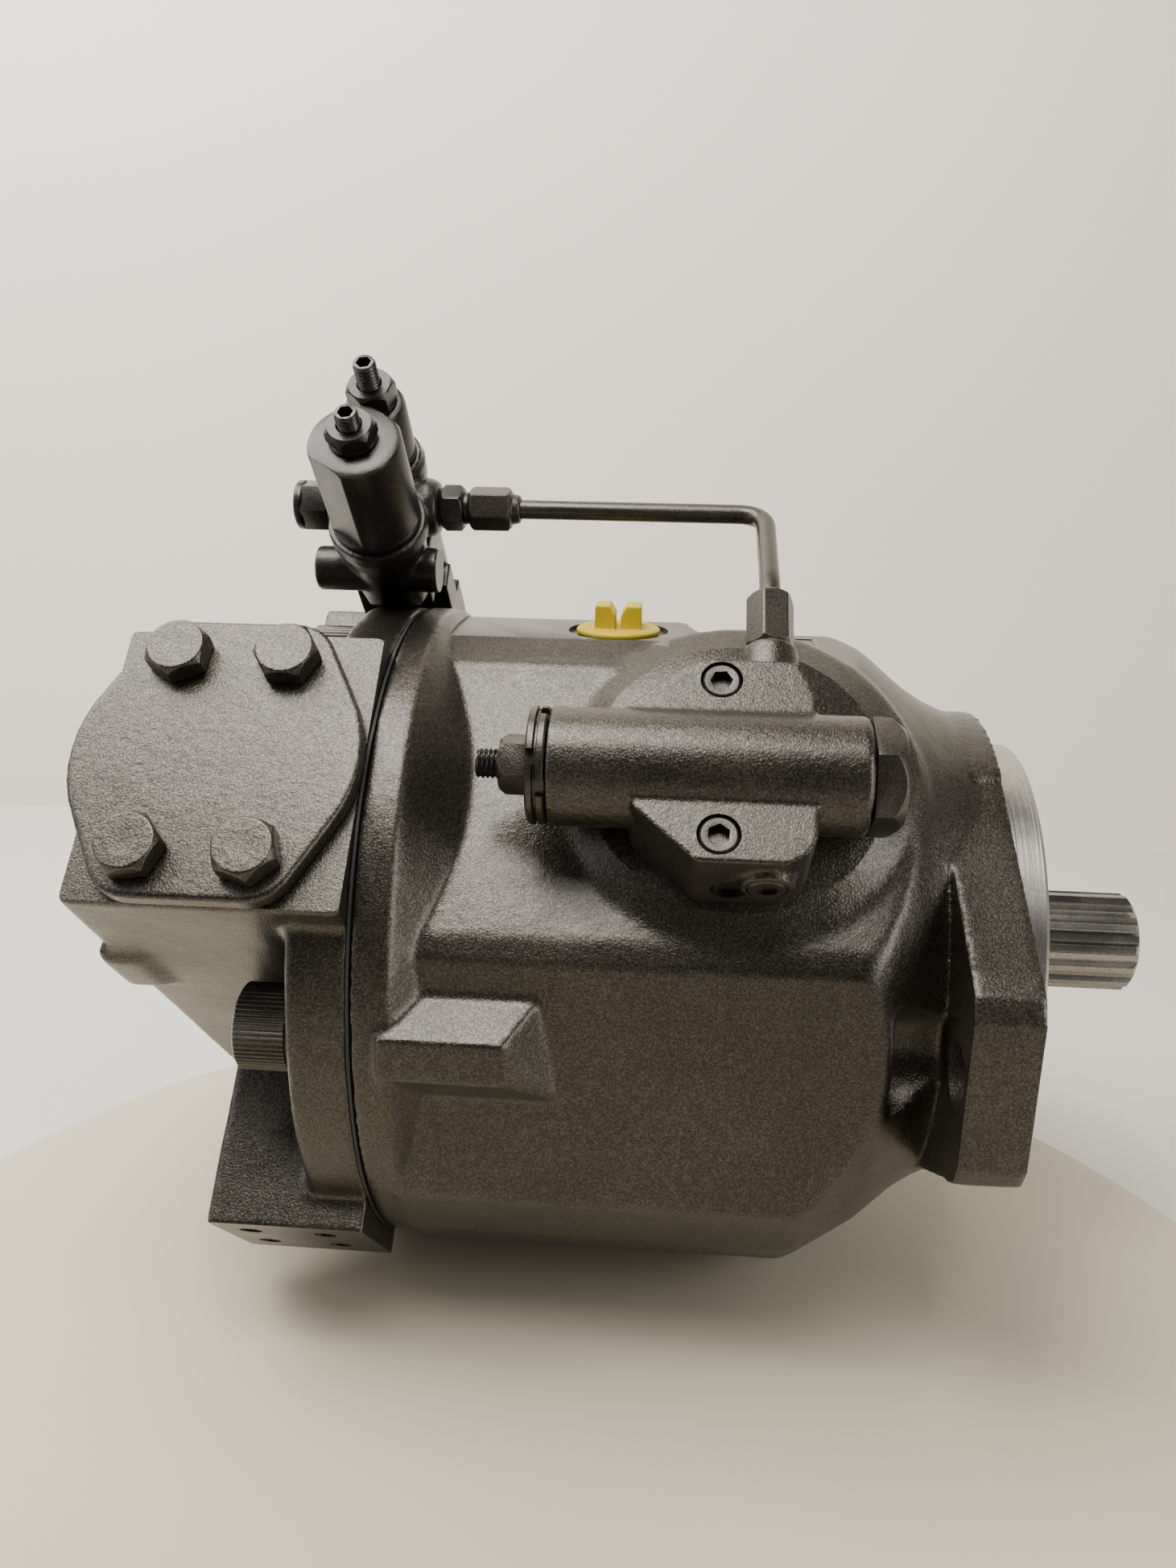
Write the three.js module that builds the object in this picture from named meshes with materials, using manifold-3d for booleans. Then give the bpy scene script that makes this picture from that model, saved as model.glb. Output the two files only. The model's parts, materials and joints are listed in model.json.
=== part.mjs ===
// Variable axial piston pump, 71 cm3 class, two-bolt flange. Millimetres, +Z up, shaft along +X.
// The pump frame has the shaft axis at y = z = 0 and the mounting face of the flange at x = 0.
// Two side directions lie at 45 degrees: N points up and towards -Y (the pressure port), and
// W points up and towards +Y (the control valve). Everything is lifted onto the floor at the end.
import * as THREE from "three";
import { mergeVertices } from "three/addons/utils/BufferGeometryUtils.js";
import Module from "manifold-3d";

const wasm = await Module();
wasm.setup();

// ---- driving dimensions -------------------------------------------------------------------
const AXIS_HEIGHT = 103.5; // shaft axis above the floor
const GAP = 0.3; // running or assembly gap between neighbouring pieces
const FLANGE_BACK = -18;
const PILOT_R = 62.5;
const PILOT_HEIGHT = 12;
const BOLT_SPAN = 180; // mounting bolts of the flange
const BOLT_HOLE_R = 9;
const SHAFT_END = 54;
const RIM_FRONT = -164; // rear rim of the housing
const HOUSING_END = -175.2;
const PLATE_START = -176.6; // port plate, behind the gasket
const DISC_END = -193;
const BLOCK_END = -250;
const RIM_R = 101.3;
const CAVITY_R = 73.5;
const PORT_FACE = 101; // ports face out along N and -N at this distance
const PORT_X = -215.2;
const PORT_HALF = 42;
const PAD_X = [-222, PLATE_START]; // control pads on the port plate, facing W and -W
const PAD_N = [-22, 25];
const PAD_TOP = 104;
const PAD_BOTTOM = -107;
const SCREW_CIRCLE = 84; // four long screws hold the port plate
const TILT_X = -84; // swash plate tilt axis, along N
const TILT_MAX = 18; // degrees
const PITCH_R = 40; // pistons' pitch radius
const PISTON_R = 10;
const PISTONS = 9;
const BARREL = [-166, -110];
const BARREL_R = 56;
const SLIPPER_R = 12.4;
const SHOE_HEIGHT = 9; // ball centre to the slipper's running face
const STROKE_ARM = 64.5; // control piston and bias rod, from the shaft axis
const VALVE_X = -187; // two-spring control valve
const FRONT_CAN_W = 89;
const FRONT_CAN_N = 94.8; // foot of the front spring can
const REAR_CAN_W = 114;
const FLAT_TURN = 55; // degrees from X, the wrench flats of the cans
const PIPE_N = 100; // pilot pipe, where it leaves the power valve
const PIPE_TOP_W = 104; // and where it runs back level to the control valve
const PIPE_TOP_N = 82.7;
const PIPE_X = -68.8;
const PIPE_R = 3;
const BODY_N = 84.5; // the housing's 45-degree facets
const POWER_N = 106; // power valve's cylinder axis
const POWER_R = 15.6;
const EAR_TOP = 115; // top of the power valve's two ears
const EAR_FOOT = -29.2; // outer wall of the lower ear, along W
const EAR_SCREW_X = -82.5;
const EAR_SCREWS = [22.4, -21.9];
const PAD_FACE = 89;
const DRAIN_X = -113;
const FINENESS = 0.4; // share of the nominal facets that a round surface gets

// ---- geometry helpers ---------------------------------------------------------------------
const asSolid = (geometry) => {
  const bare = new THREE.BufferGeometry();
  bare.setAttribute("position", geometry.getAttribute("position"));
  if (geometry.index) bare.setIndex(geometry.index);
  const merged = mergeVertices(bare, 1e-4);
  return new wasm.Manifold(
    new wasm.Mesh({
      numProp: 3,
      vertProperties: new Float32Array(merged.getAttribute("position").array),
      triVerts: new Uint32Array(merged.index.array),
    }),
  );
};

const asGeometry = (solid) => {
  const mesh = solid.getMesh();
  const geometry = new THREE.BufferGeometry();
  const points = new Float32Array(mesh.numVert * 3);
  for (let i = 0; i < mesh.numVert; i += 1) {
    for (let k = 0; k < 3; k += 1) points[3 * i + k] = mesh.vertProperties[mesh.numProp * i + k];
  }
  geometry.setAttribute("position", new THREE.BufferAttribute(points, 3));
  geometry.setIndex(new THREE.BufferAttribute(new Uint32Array(mesh.triVerts), 1));
  return geometry;
};

const join = (...solids) => solids.reduce((a, b) => a.add(b));
const cut = (solid, ...tools) => tools.reduce((a, b) => a.subtract(b), solid);

// a box between two corners
const box = ([x0, x1], [y0, y1], [z0, z1]) =>
  asSolid(
    new THREE.BoxGeometry(x1 - x0, y1 - y0, z1 - z0)
      .translate((x0 + x1) / 2, (y0 + y1) / 2, (z0 + z1) / 2),
  );

// turned shapes: profile points are [position along the axis, radius]
const facets = (nominal) => 2 * Math.max(4, Math.round((nominal * FINENESS) / 2));
const turned = (profile, segments) => {
  const points = profile.map(([along, r]) => new THREE.Vector2(r, along));
  return new THREE.LatheGeometry(points, facets(segments));
};
const alongX = (geometry, y = 0, z = 0) => geometry.rotateZ(-Math.PI / 2).translate(0, y, z);
const alongZ = (geometry, x = 0, y = 0) => geometry.rotateX(Math.PI / 2).translate(x, y, 0);

const latheX = (profile, segments = 48, y = 0, z = 0) =>
  asSolid(alongX(turned(profile, segments), y, z));
const latheZ = (profile, segments = 32, x = 0, y = 0) =>
  asSolid(alongZ(turned(profile, segments), x, y));
const rodX = (r, x0, x1, segments = 32, y = 0, z = 0) =>
  latheX([[x0, 0], [x0, r], [x1, r], [x1, 0]], segments, y, z);
const rodZ = (r, z0, z1, x = 0, y = 0, segments = 32) =>
  latheZ([[z0, 0], [z0, r], [z1, r], [z1, 0]], segments, x, y);
const ringX = (r0, r1, x0, x1, segments = 48) =>
  latheX([[x0, r0], [x0, r1], [x1, r1], [x1, r0], [x0, r0]], segments);

// a prism of a flat outline, standing along +Z from z0 to z1
const prism = (outline, z0, z1) => {
  const shape = new THREE.Shape(outline.map(([x, y]) => new THREE.Vector2(x, y)));
  const made = new THREE.ExtrudeGeometry(shape, { depth: z1 - z0, bevelEnabled: false });
  return asSolid(made.translate(0, 0, z0));
};
// the same, standing along X: the outline's points are [y, z]
const prismX = (outline, x0, x1) => {
  const shape = new THREE.Shape(outline.map(([y, z]) => new THREE.Vector2(y, z)));
  const made = new THREE.ExtrudeGeometry(shape, { depth: x1 - x0, bevelEnabled: false });
  made.applyMatrix4(new THREE.Matrix4().set(0, 0, 1, x0, 1, 0, 0, 0, 0, 1, 0, 0, 0, 0, 0, 1));
  return asSolid(made);
};

const hexagon = (acrossFlats) => {
  const r = acrossFlats / Math.sqrt(3);
  return Array.from({ length: 6 }, (_, i) => [
    r * Math.cos((i * Math.PI) / 3),
    r * Math.sin((i * Math.PI) / 3),
  ]);
};

// a hexagon head or nut along Z with both rims bevelled
const hexZ = (acrossFlats, z0, z1, x = 0, y = 0) => {
  const r = acrossFlats / Math.sqrt(3);
  const bevel = r * 0.09;
  const turnedRim = latheZ(
    [[z0, 0], [z0, r - 2 * bevel], [z0 + bevel, r], [z1 - bevel, r], [z1, r - 2 * bevel], [z1, 0]],
    24,
  );
  const made = prism(hexagon(acrossFlats), z0, z1).intersect(turnedRim);
  return made.translate([x, y, 0]);
};

// pieces made upright on N: x stays, Y becomes W and Z becomes N
const toSide = (solid) => solid.rotate([45, 0, 0]);
// pieces made along Z and laid along X, or along W
const layX = (solid) => solid.rotate([0, 90, 0]);
const layW = (solid) => solid.rotate([-90, 0, 0]);

// the convex outline round a set of circles [x, y, r]
const outlineRound = (circles, steps = 16) => {
  const points = circles.flatMap(([x, y, r]) =>
    Array.from({ length: steps }, (_, i) => [
      x + r * Math.cos((2 * Math.PI * i) / steps),
      y + r * Math.sin((2 * Math.PI * i) / steps),
    ]),
  );
  points.sort((a, b) => a[0] - b[0] || a[1] - b[1]);
  const turn = (o, a, b) => (a[0] - o[0]) * (b[1] - o[1]) - (a[1] - o[1]) * (b[0] - o[0]);
  const half = (list) => {
    const chain = [];
    for (const p of list) {
      while (chain.length > 1 && turn(chain.at(-2), chain.at(-1), p) <= 1e-9) chain.pop();
      chain.push(p);
    }
    return chain.slice(0, -1);
  };
  return [...half(points), ...half(points.reverse())];
};

// ---- materials ----------------------------------------------------------------------------
const FINISH = {
  paint: { color: 0x5f5850, metalness: 0.3, roughness: 0.55 },
  darkPaint: { color: 0x3f3b36, metalness: 0.3, roughness: 0.5 },
  machined: { color: 0xb9b6b0, metalness: 0.9, roughness: 0.3 },
  steel: { color: 0x8e8c88, metalness: 0.9, roughness: 0.35 },
  bronze: { color: 0xa8803c, metalness: 0.9, roughness: 0.4 },
  rubber: { color: 0x1b1a19, metalness: 0, roughness: 0.8 },
  yellow: { color: 0xf2d40c, metalness: 0, roughness: 0.45 },
  zinc: { color: 0x77736c, metalness: 0.8, roughness: 0.45 },
};

const pump = new THREE.Group();
pump.name = "axial_piston_pump";
const place = (name, solid, finish) => {
  const lifted = solid.translate([0, 0, AXIS_HEIGHT]);
  const mesh = new THREE.Mesh(asGeometry(lifted), new THREE.MeshStandardMaterial(FINISH[finish]));
  mesh.name = name;
  pump.add(mesh);
};

// the four long screws stand level with the shaft, above it and below it
const SCREW_PLACES = [0, 1, 2, 3].map((i) => [
  SCREW_CIRCLE * Math.cos((i * Math.PI) / 2),
  SCREW_CIRCLE * Math.sin((i * Math.PI) / 2),
]);

// ---- front housing ------------------------------------------------------------------------
const flangeOutline = () => {
  const quarter = [[102, 0], [102, 21], [99, 27.5], [92, 31.5], [88.7, 32.9], [33, 64.5]];
  const arc = [60, 68, 76, 84].map((a) => [
    73 * Math.cos((a * Math.PI) / 180),
    73 * Math.sin((a * Math.PI) / 180),
  ]);
  const right = [...quarter, ...arc];
  const left = right.map(([y, z]) => [-y, z]).reverse();
  const top = [...right, [0, 73], ...left];
  const bottom = top.slice(1, -1).map(([y, z]) => [y, -z]).reverse();
  return [...top, ...bottom];
};

const bodyOutline = () => {
  const viewerSide = [
    [-27, 92.8], [-30, 89.5], [-88, 31.5], [-91, 26], [-91, -47], [-77, -68], [-63, -82],
    [-48, -92], [-34, -99],
  ];
  const farSide = viewerSide.map(([y, z]) => [-y, z]).reverse();
  return [...viewerSide, ...farSide].reverse();
};

// a boss with sloping sides round each of the two level screws
const sideLug = (side) => {
  const along = [[-166, 80], [-166, 103], [-135, 103], [-123, 91], [-123, 80]];
  const across = [[80, -14.4], [91, -14.4], [103, -3.6], [103, 8.2], [91, 15.6], [80, 15.6]];
  const lug = prism(along, -20, 20).intersect(prismX(across, -170, -110));
  return side > 0 ? lug : lug.mirror([0, 1, 0]);
};

const frontHousing = () => {
  const shoulder = latheX(
    [[RIM_FRONT - 2, 0], [RIM_FRONT - 2, 112], [-62, 112], [-56, 103], [-36, 91], [-24, 81],
      [-16, 76], [-9, 73], [-9, 0]],
    64,
  );
  const body = prismX(bodyOutline(), RIM_FRONT - 2, -5).intersect(shoulder);
  const flange = prismX(flangeOutline(), FLANGE_BACK, 0);
  const pilot = latheX(
    [[-2, 0], [-2, PILOT_R], [PILOT_HEIGHT - 0.8, PILOT_R], [PILOT_HEIGHT, PILOT_R - 0.8],
      [PILOT_HEIGHT, 0]],
    72,
  );
  const rim = rodX(RIM_R, HOUSING_END, RIM_FRONT, 72);
  const rimFillet = latheX(
    [[RIM_FRONT - 2, 0], [RIM_FRONT - 2, RIM_R - 0.3], [RIM_FRONT, RIM_R - 0.3], [-160, 95],
      [-156, 90.5], [-150, BODY_N], [-150, 0]],
    72,
  );
  const topPad = prismX(
    [[-29, 91], [-20, 84], [20, 84], [31, 91], [17, 97], [-14, 97]],
    RIM_FRONT - 2, -90,
  );
  const footPad = box([-152, -56], [-34, 34], [-AXIS_HEIGHT, -90]);
  const sideLugs = [-1, 1].map(sideLug);
  const valvePad = toSide(
    latheZ([[70, 0], [70, 49], [BODY_N, 49], [PAD_FACE, 41], [PAD_FACE, 0]], 48, -77, 9),
  );
  const outside = join(body, flange, pilot, rim, rimFillet, topPad, footPad, ...sideLugs,
    valvePad);

  const cavity = latheX(
    [[-190, 0], [-190, CAVITY_R], [-56, CAVITY_R], [-46, 66], [-40, 62], [-40, 36.3],
      [-18, 36.3], [-18, 21], [-2, 21], [-2, 27.3], [20, 27.3], [20, 0]],
    64,
  );
  const screwHoles = SCREW_PLACES.map(([y, z]) => rodX(8, -190, -146, 24, y, z));
  const boltHoles = [-1, 1].map((side) =>
    rodX(BOLT_HOLE_R, -30, 10, 32, (side * BOLT_SPAN) / 2, 0),
  );
  const spotFaces = [-1, 1].map((side) =>
    rodX(17, -40, FLANGE_BACK, 32, (side * BOLT_SPAN) / 2, 0),
  );
  const drainPort = rodZ(9.6, 60, 99, DRAIN_X, 1, 32);
  const drainRecess = rodZ(15.5, 95.6, 99, DRAIN_X, 1, 32);
  const valveScrewHoles = EAR_SCREWS.map((w) => toSide(rodZ(3.2, 78, 95, EAR_SCREW_X, w, 16)));
  return cut(outside, cavity, ...screwHoles, ...boltHoles, ...spotFaces, drainPort, drainRecess,
    ...valveScrewHoles);
};

// ---- port plate -----------------------------------------------------------------------------
const kidney = (side, x0, x1) => {
  // a slot of an eighth either side of N, between the inner and outer port radii
  const steps = 6;
  const reach = 1.05;
  const arc = (r, from, to) =>
    Array.from({ length: steps + 1 }, (_, i) => {
      const a = side * (Math.PI / 2) + from + ((to - from) * i) / steps;
      return [r * Math.cos(a), r * Math.sin(a)];
    });
  return toSide(prismX([...arc(45, -reach, reach), ...arc(34, reach, -reach)], x0, x1));
};

const portPlate = () => {
  const disc = rodX(RIM_R, DISC_END, PLATE_START, 72);
  const portBlock = toSide(
    box([BLOCK_END, PLATE_START], [-PORT_HALF, PORT_HALF], [-PORT_FACE, PORT_FACE]),
  );
  const pads = toSide(box(PAD_X, [PAD_BOTTOM, PAD_TOP], PAD_N));
  const castBoss = toSide(box([-253, -240], [-PORT_HALF + 1, -30], [41, 62]));
  const seat = rodX(BARREL_R, PLATE_START - 2, -170.8, 64);
  const pressurePort = toSide(rodZ(16, 20, 110, PORT_X, 0, 40));
  const suctionPort = toSide(rodZ(25, -110, -20, PORT_X, 0, 40));
  const links = [1, -1].map((side) => kidney(side, -205, -160));
  const bearingBore = rodX(26.3, -196, -160, 48);
  const shaftRelief = rodX(15, -202, -160, 32);
  const screwHoles = SCREW_PLACES.map(([y, z]) => rodX(8.3, -200, -160, 24, y, z));
  const headRooms = SCREW_PLACES.map(([y, z]) => rodX(14, -260, DISC_END, 32, y, z));
  const coverHoles = [-1, 1].flatMap((i) =>
    [-1, 1].map((k) => toSide(rodZ(5.3, 84, 110, PORT_X + i * 15.1, k * 29.35, 16))),
  );
  const suctionHoles = [-1, 1].flatMap((i) =>
    [-1, 1].map((k) => toSide(rodZ(5.3, -110, -80, PORT_X + i * 21.4, k * 34.5, 16))),
  );
  const padHoles = [-9, 12].flatMap((n) =>
    [-212, -190].map((x) => toSide(rodX(3.2, 0, 20, 12).rotate([0, 0, -90])
      .translate([x, PAD_BOTTOM + 16, n]))),
  );
  const strokeBore = toSide(rodX(8.4, -208, -160, 32, STROKE_ARM, 0));
  const biasBore = toSide(rodX(3.8, -200, -160, 20, -STROKE_ARM, 0));
  return cut(join(disc, portBlock, pads, castBoss, seat), pressurePort, suctionPort, ...links,
    bearingBore, shaftRelief, ...screwHoles, ...headRooms, ...coverHoles, ...suctionHoles,
    ...padHoles, strokeBore, biasBore);
};

const gasket = () =>
  cut(
    ringX(CAVITY_R + 1, RIM_R - 0.3, HOUSING_END - 1.1, HOUSING_END - 0.3, 72),
    ...SCREW_PLACES.map(([y, z]) => rodX(8.3, -190, -160, 24, y, z)),
  );

const plateScrew = (y, z) => {
  const head = latheX(
    [[-209.3, 0], [-209.3, 10.8], [-208.3, 12], [-193.3, 12], [-193.3, 0]],
    36, y, z,
  );
  const shank = rodX(7.6, -194, -150, 24, y, z);
  const socket = layX(prism(hexagon(14), -212, -201)).translate([0, y, z]);
  return cut(join(head, shank), socket);
};

// ---- pressure port cover and its bolts ------------------------------------------------------
const COVER_BOLTS = [-1, 1].flatMap((i) => [-1, 1].map((k) => [PORT_X + i * 15.1, k * 29.35]));
const portCover = () => {
  const outline = outlineRound([
    [PORT_X, 0, 39.5],
    ...COVER_BOLTS.map(([x, w]) => [x, w, 12.5]),
  ]);
  const plate = prism(outline, PORT_FACE + GAP, 106.8);
  return toSide(cut(plate, ...COVER_BOLTS.map(([x, w]) => rodZ(5.4, 95, 110, x, w, 16))));
};
const coverBolt = (x, w) => {
  const head = hexZ(16, 107.1, 113.5, x, w);
  const shank = rodZ(4.9, 88, 108, x, w, 16);
  return toSide(join(head, shank));
};

// ---- drain port plug --------------------------------------------------------------------------
const drainPlug = () => {
  const cap = latheZ([[82, 0], [82, 9], [96.2, 9], [96.2, 13], [98.2, 13], [98.2, 0]], 32,
    DRAIN_X, 1);
  const lugs = [-1, 1].map((side) =>
    box([DRAIN_X + side * 4.1 - 3.2, DRAIN_X + side * 4.1 + 3.2], [-5, 7], [98, 105.5]),
  );
  const hollow = rodZ(7.2, 80, 95, DRAIN_X, 1, 24);
  return cut(join(cap, ...lugs), hollow);
};

// ---- power valve on the housing's side ---------------------------------------------------------
const powerBody = () => {
  const foot = PAD_FACE + GAP;
  const barrel = latheX(
    [[-126, 0], [-126, POWER_R], [-46, POWER_R], [-44.6, POWER_R - 1.4], [-44.6, 0]],
    40,
  ).translate([0, 0, POWER_N]);
  const upperEar = prism(
    [[-106.5, 8], [-58.6, 8], [-58.6, 19.4], [-62.6, 28.3], [-77, 29], [-90, 28.1], [-106.5, 13.9]],
    foot, EAR_TOP,
  );
  const lowerEar = prism(
    [[-105, -8], [-104, -15], [-88, EAR_FOOT], [-66, EAR_FOOT], [-60.5, -26], [-58.3, -21],
      [-58.3, -8]],
    foot, EAR_TOP,
  );
  const middle = box([-105, -58.6], [-14, 14], [foot, POWER_N]);
  const pipeBoss = layW(join(rodZ(7.8, 26, 41.7, 0, 0, 24), rodZ(4.6, 26, 45.4, 0, 0, 24)))
    .translate([PIPE_X, 0, PIPE_N]);
  const portButton = layW(rodZ(6.8, -31.3, -29, 0, 0, 24)).translate([-70, 0, 103.5]);
  const spoolBore = rodX(9.3, -130, -50, 32).translate([0, 0, POWER_N]);
  const endBore = rodX(12.3, -56, -40, 32).translate([0, 0, POWER_N]);
  const screws = EAR_SCREWS.flatMap((w) => [
    rodZ(3.3, 80, 120, EAR_SCREW_X, w, 16),
    rodZ(5.5, 108.6, 120, EAR_SCREW_X, w, 24),
  ]);
  const pipeBore = layW(rodZ(3.4, 7, 50, 0, 0, 16)).translate([PIPE_X, 0, PIPE_N]);
  const socket = layW(prism(hexagon(5), -33, -28)).translate([-70, 0, 103.5]);
  const whole = join(barrel, upperEar, lowerEar, middle, pipeBoss, portButton);
  return toSide(cut(whole, spoolBore, endBore, ...screws, pipeBore, socket));
};
const onPowerAxis = (solid) => toSide(solid.translate([0, 0, POWER_N]));
const powerRingNut = () =>
  onPowerAxis(cut(rodX(15.4, -131.2, -126.3, 40), rodX(6.4, -140, -120, 24)));
const powerLockNut = () =>
  onPowerAxis(cut(layX(hexZ(14, -139, -131.5)), rodX(4.3, -150, -120, 20)));
const powerStud = () =>
  onPowerAxis(latheX([[-145.2, 0], [-145.2, 3.2], [-144.4, 4], [-112, 4], [-112, 8.9], [-104, 8.9],
    [-104, 0]], 20));
const powerPlug = () => {
  const head = layX(hexZ(27, -44.3, -36.2));
  const stem = rodX(12, -54, -44, 32);
  return onPowerAxis(join(head, stem));
};
const powerScrew = (w) => {
  const head = rodZ(5, 108.9, EAR_TOP - 0.3, EAR_SCREW_X, w, 24);
  const shank = rodZ(2.9, 79, 110, EAR_SCREW_X, w, 16);
  const socket = prism(hexagon(5), 111.8, 120).translate([EAR_SCREW_X, w, 0]);
  return toSide(cut(join(head, shank), socket));
};
// ---- two-spring control valve on the port plate --------------------------------------------------
const onCan = (solid, w) => toSide(solid.translate([VALVE_X, w, 0]));
const valveBody = () => {
  const left = VALVE_X - 20;
  const right = VALVE_X + 12.5;
  const base = join(
    box([left, right], [PAD_TOP + GAP, 119], [-21, 27]),
    box([left, right], [PAD_TOP + GAP, 113], [-21, 44]),
  );
  const rear = rodZ(11, PAD_N[1] + GAP, 96, VALVE_X, REAR_CAN_W, 32);
  const front = latheZ(
    [[54, 0], [54, 7], [60, 10.5], [70, 12], [84, 13.4], [91, 15.2], [FRONT_CAN_N - GAP, 15.2],
      [FRONT_CAN_N - GAP, 0]],
    40, VALVE_X, FRONT_CAN_W,
  );
  const saddle = box([VALVE_X - 11, VALVE_X + 11], [FRONT_CAN_W, 113], [52, 70]);
  const web = box([VALVE_X - 8, VALVE_X + 8], [FRONT_CAN_W + 10, 112], [56, 88]);
  const pipeBoss = rodX(9.2, VALVE_X, -170.7, 32, PIPE_TOP_W, PIPE_TOP_N);
  const plugBoss = rodX(7.4, VALVE_X - 19, VALVE_X, 32, PIPE_TOP_W, PIPE_TOP_N);
  const crossBoss = rodX(7, VALVE_X - 21.2, VALVE_X + 17.2, 28, FRONT_CAN_W - 5, 76.5);
  const clearance = rodX(RIM_R + 0.6, -230, -150, 72);
  const frontBore = rodZ(8.3, 66, 98, VALVE_X, FRONT_CAN_W, 24);
  const rearBore = rodZ(7.3, 20, 110, VALVE_X, REAR_CAN_W, 24);
  const pipeBore = rodX(3.4, VALVE_X + 10, -160, 16, PIPE_TOP_W, PIPE_TOP_N);
  const plugBore = rodX(5.3, VALVE_X - 30, VALVE_X - 10, 16, PIPE_TOP_W, PIPE_TOP_N);
  const whole = join(base, rear, front, saddle, web, pipeBoss, plugBoss, crossBoss);
  const cleared = whole.subtract(clearance.rotate([-45, 0, 0]));
  return toSide(cut(cleared, frontBore, rearBore, pipeBore, plugBore));
};
// a round can with a pair of wrench flats
const springCan = (r, w, n0, n1, flats) => {
  const shell = latheZ(
    [[n0, 0], [n0, r], [n0 + 2, r], [n0 + 2, r - 0.3], [n1 - 0.8, r - 0.3], [n1, r - 1.1], [n1, 0]],
    48,
  );
  const slab = box([-flats / 2, flats / 2], [-20, 20], [n0 + 2, n1]).rotate([0, 0, FLAT_TURN]);
  const trimmed = shell.intersect(join(slab, rodZ(r, n0, n0 + 2.1, 0, 0, 48)));
  const spigot = rodZ(7, n0 - 6, n0 + 1, 0, 0, 24);
  const bore = rodZ(5.6, n0 - 10, n1 - 4, 0, 0, 24);
  const screwBore = rodZ(3.8, n1 - 6, n1 + 2, 0, 0, 16);
  return onCan(cut(join(trimmed, spigot), bore, screwBore), w);
};
const canNut = (w, n0, height) =>
  onCan(cut(hexZ(13, n0, n0 + height), rodZ(3.8, n0 - 1, n0 + height + 1, 0, 0, 16)), w);
const canScrew = (w, n0, n1) => {
  const r = 3.45;
  const stud = latheZ(
    [[n0, 0], [n0, r - 0.6], [n0 + 0.6, r], [n1 - 0.6, r], [n1, r - 0.6], [n1, 0]],
    20,
  );
  return onCan(cut(stud, prism(hexagon(4), n1 - 3.5, n1 + 1)), w);
};
// ---- pilot pipe ---------------------------------------------------------------------------------
const PIPE_END = -158;
const pipeOf = (radius) => {
  const bend = 9;
  const top = PIPE_TOP_W;
  const a = new THREE.Vector3(PIPE_X, 48, PIPE_N);
  const nutEnd = new THREE.Vector3(PIPE_X, 61, PIPE_N);
  const b = new THREE.Vector3(PIPE_X, top - bend, PIPE_TOP_N + 3.6);
  const c = new THREE.Vector3(PIPE_X, top, PIPE_TOP_N);
  const d = new THREE.Vector3(PIPE_X - bend, top, PIPE_TOP_N);
  const e = new THREE.Vector3(PIPE_END, top, PIPE_TOP_N);
  const smooth = new THREE.QuadraticBezierCurve3(b, c, d).getPoints(4);
  const route = new THREE.CatmullRomCurve3([a, nutEnd, ...smooth, e], false, "centripetal");
  const section = new THREE.Shape();
  section.absarc(0, 0, radius, 0, 2 * Math.PI);
  const made = new THREE.ExtrudeGeometry(section, {
    steps: 16, extrudePath: route, curveSegments: 5, bevelEnabled: false,
  });
  return toSide(asSolid(made));
};
const pipeNutLower = () => {
  const nut = cut(hexZ(12, 42, 60.6), rodZ(4.9, 41, 48, 0, 0, 24));
  return cut(toSide(layW(nut).translate([PIPE_X, 0, PIPE_N])), pipeOf(PIPE_R + GAP));
};
const onPipe = (solid) => toSide(solid.translate([0, PIPE_TOP_W, PIPE_TOP_N]));
const pipeNutUpper = () =>
  onPipe(cut(layX(hexZ(12, -161.4, -147.3)), rodX(3.4, -165, -140, 16)));
const pipeFitting = () =>
  onPipe(join(layX(hexZ(12, -170.4, -163.2)), rodX(5, -163.3, -161.7, 20)));

// ---- rotating group, at stand-by with the swash plate square to the shaft ---------------------------
const splined = (r, root, teeth, x0, x1) => {
  const outline = Array.from({ length: teeth * 2 }, (_, i) => {
    const a = (Math.PI * (i + 0.5)) / teeth;
    const rr = i % 2 ? r : root;
    return [rr * Math.cos(a), rr * Math.sin(a)];
  });
  return prismX(outline, x0, x1);
};
const shaft = () => {
  const spline = splined(15.6, 13.9, 14, 20, SHAFT_END);
  const core = latheX(
    [[-198, 0], [-198, 11.5], [-197, 12.5], [-172, 12.5], [-172, 14], [-160, 14], [-160, 16],
      [-113, 16], [-113, 15], [-44, 15], [-44, 20], [-39, 20], [-39, 17.5], [15, 17.5],
      [15, 15.6], [20.5, 15.6], [20.5, 0]],
    48,
  );
  const keyway = rodX(4.2, SHAFT_END - 12, SHAFT_END + 2, 16);
  return cut(join(spline, core), keyway);
};
const frontBearing = () =>
  cut(
    latheX([[-38.4, 17.8], [-38.4, 36], [-20, 36], [-20, 17.8], [-38.4, 17.8]], 48),
    latheX([[-40, 26], [-40, 30.5], [-36, 30], [-36, 27], [-40, 26]], 40),
  );
const rearBearing = () => ringX(12.8, 26, -195.7, -178, 48);
const shaftSeal = () =>
  latheX([[-1.7, 18], [-1.7, 27], [7.4, 27], [7.4, 24.6], [1.6, 24.6], [1.6, 20.6], [6, 20.6],
    [6, 17.8], [-0.4, 17.8], [-1.7, 18]], 48);

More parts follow.
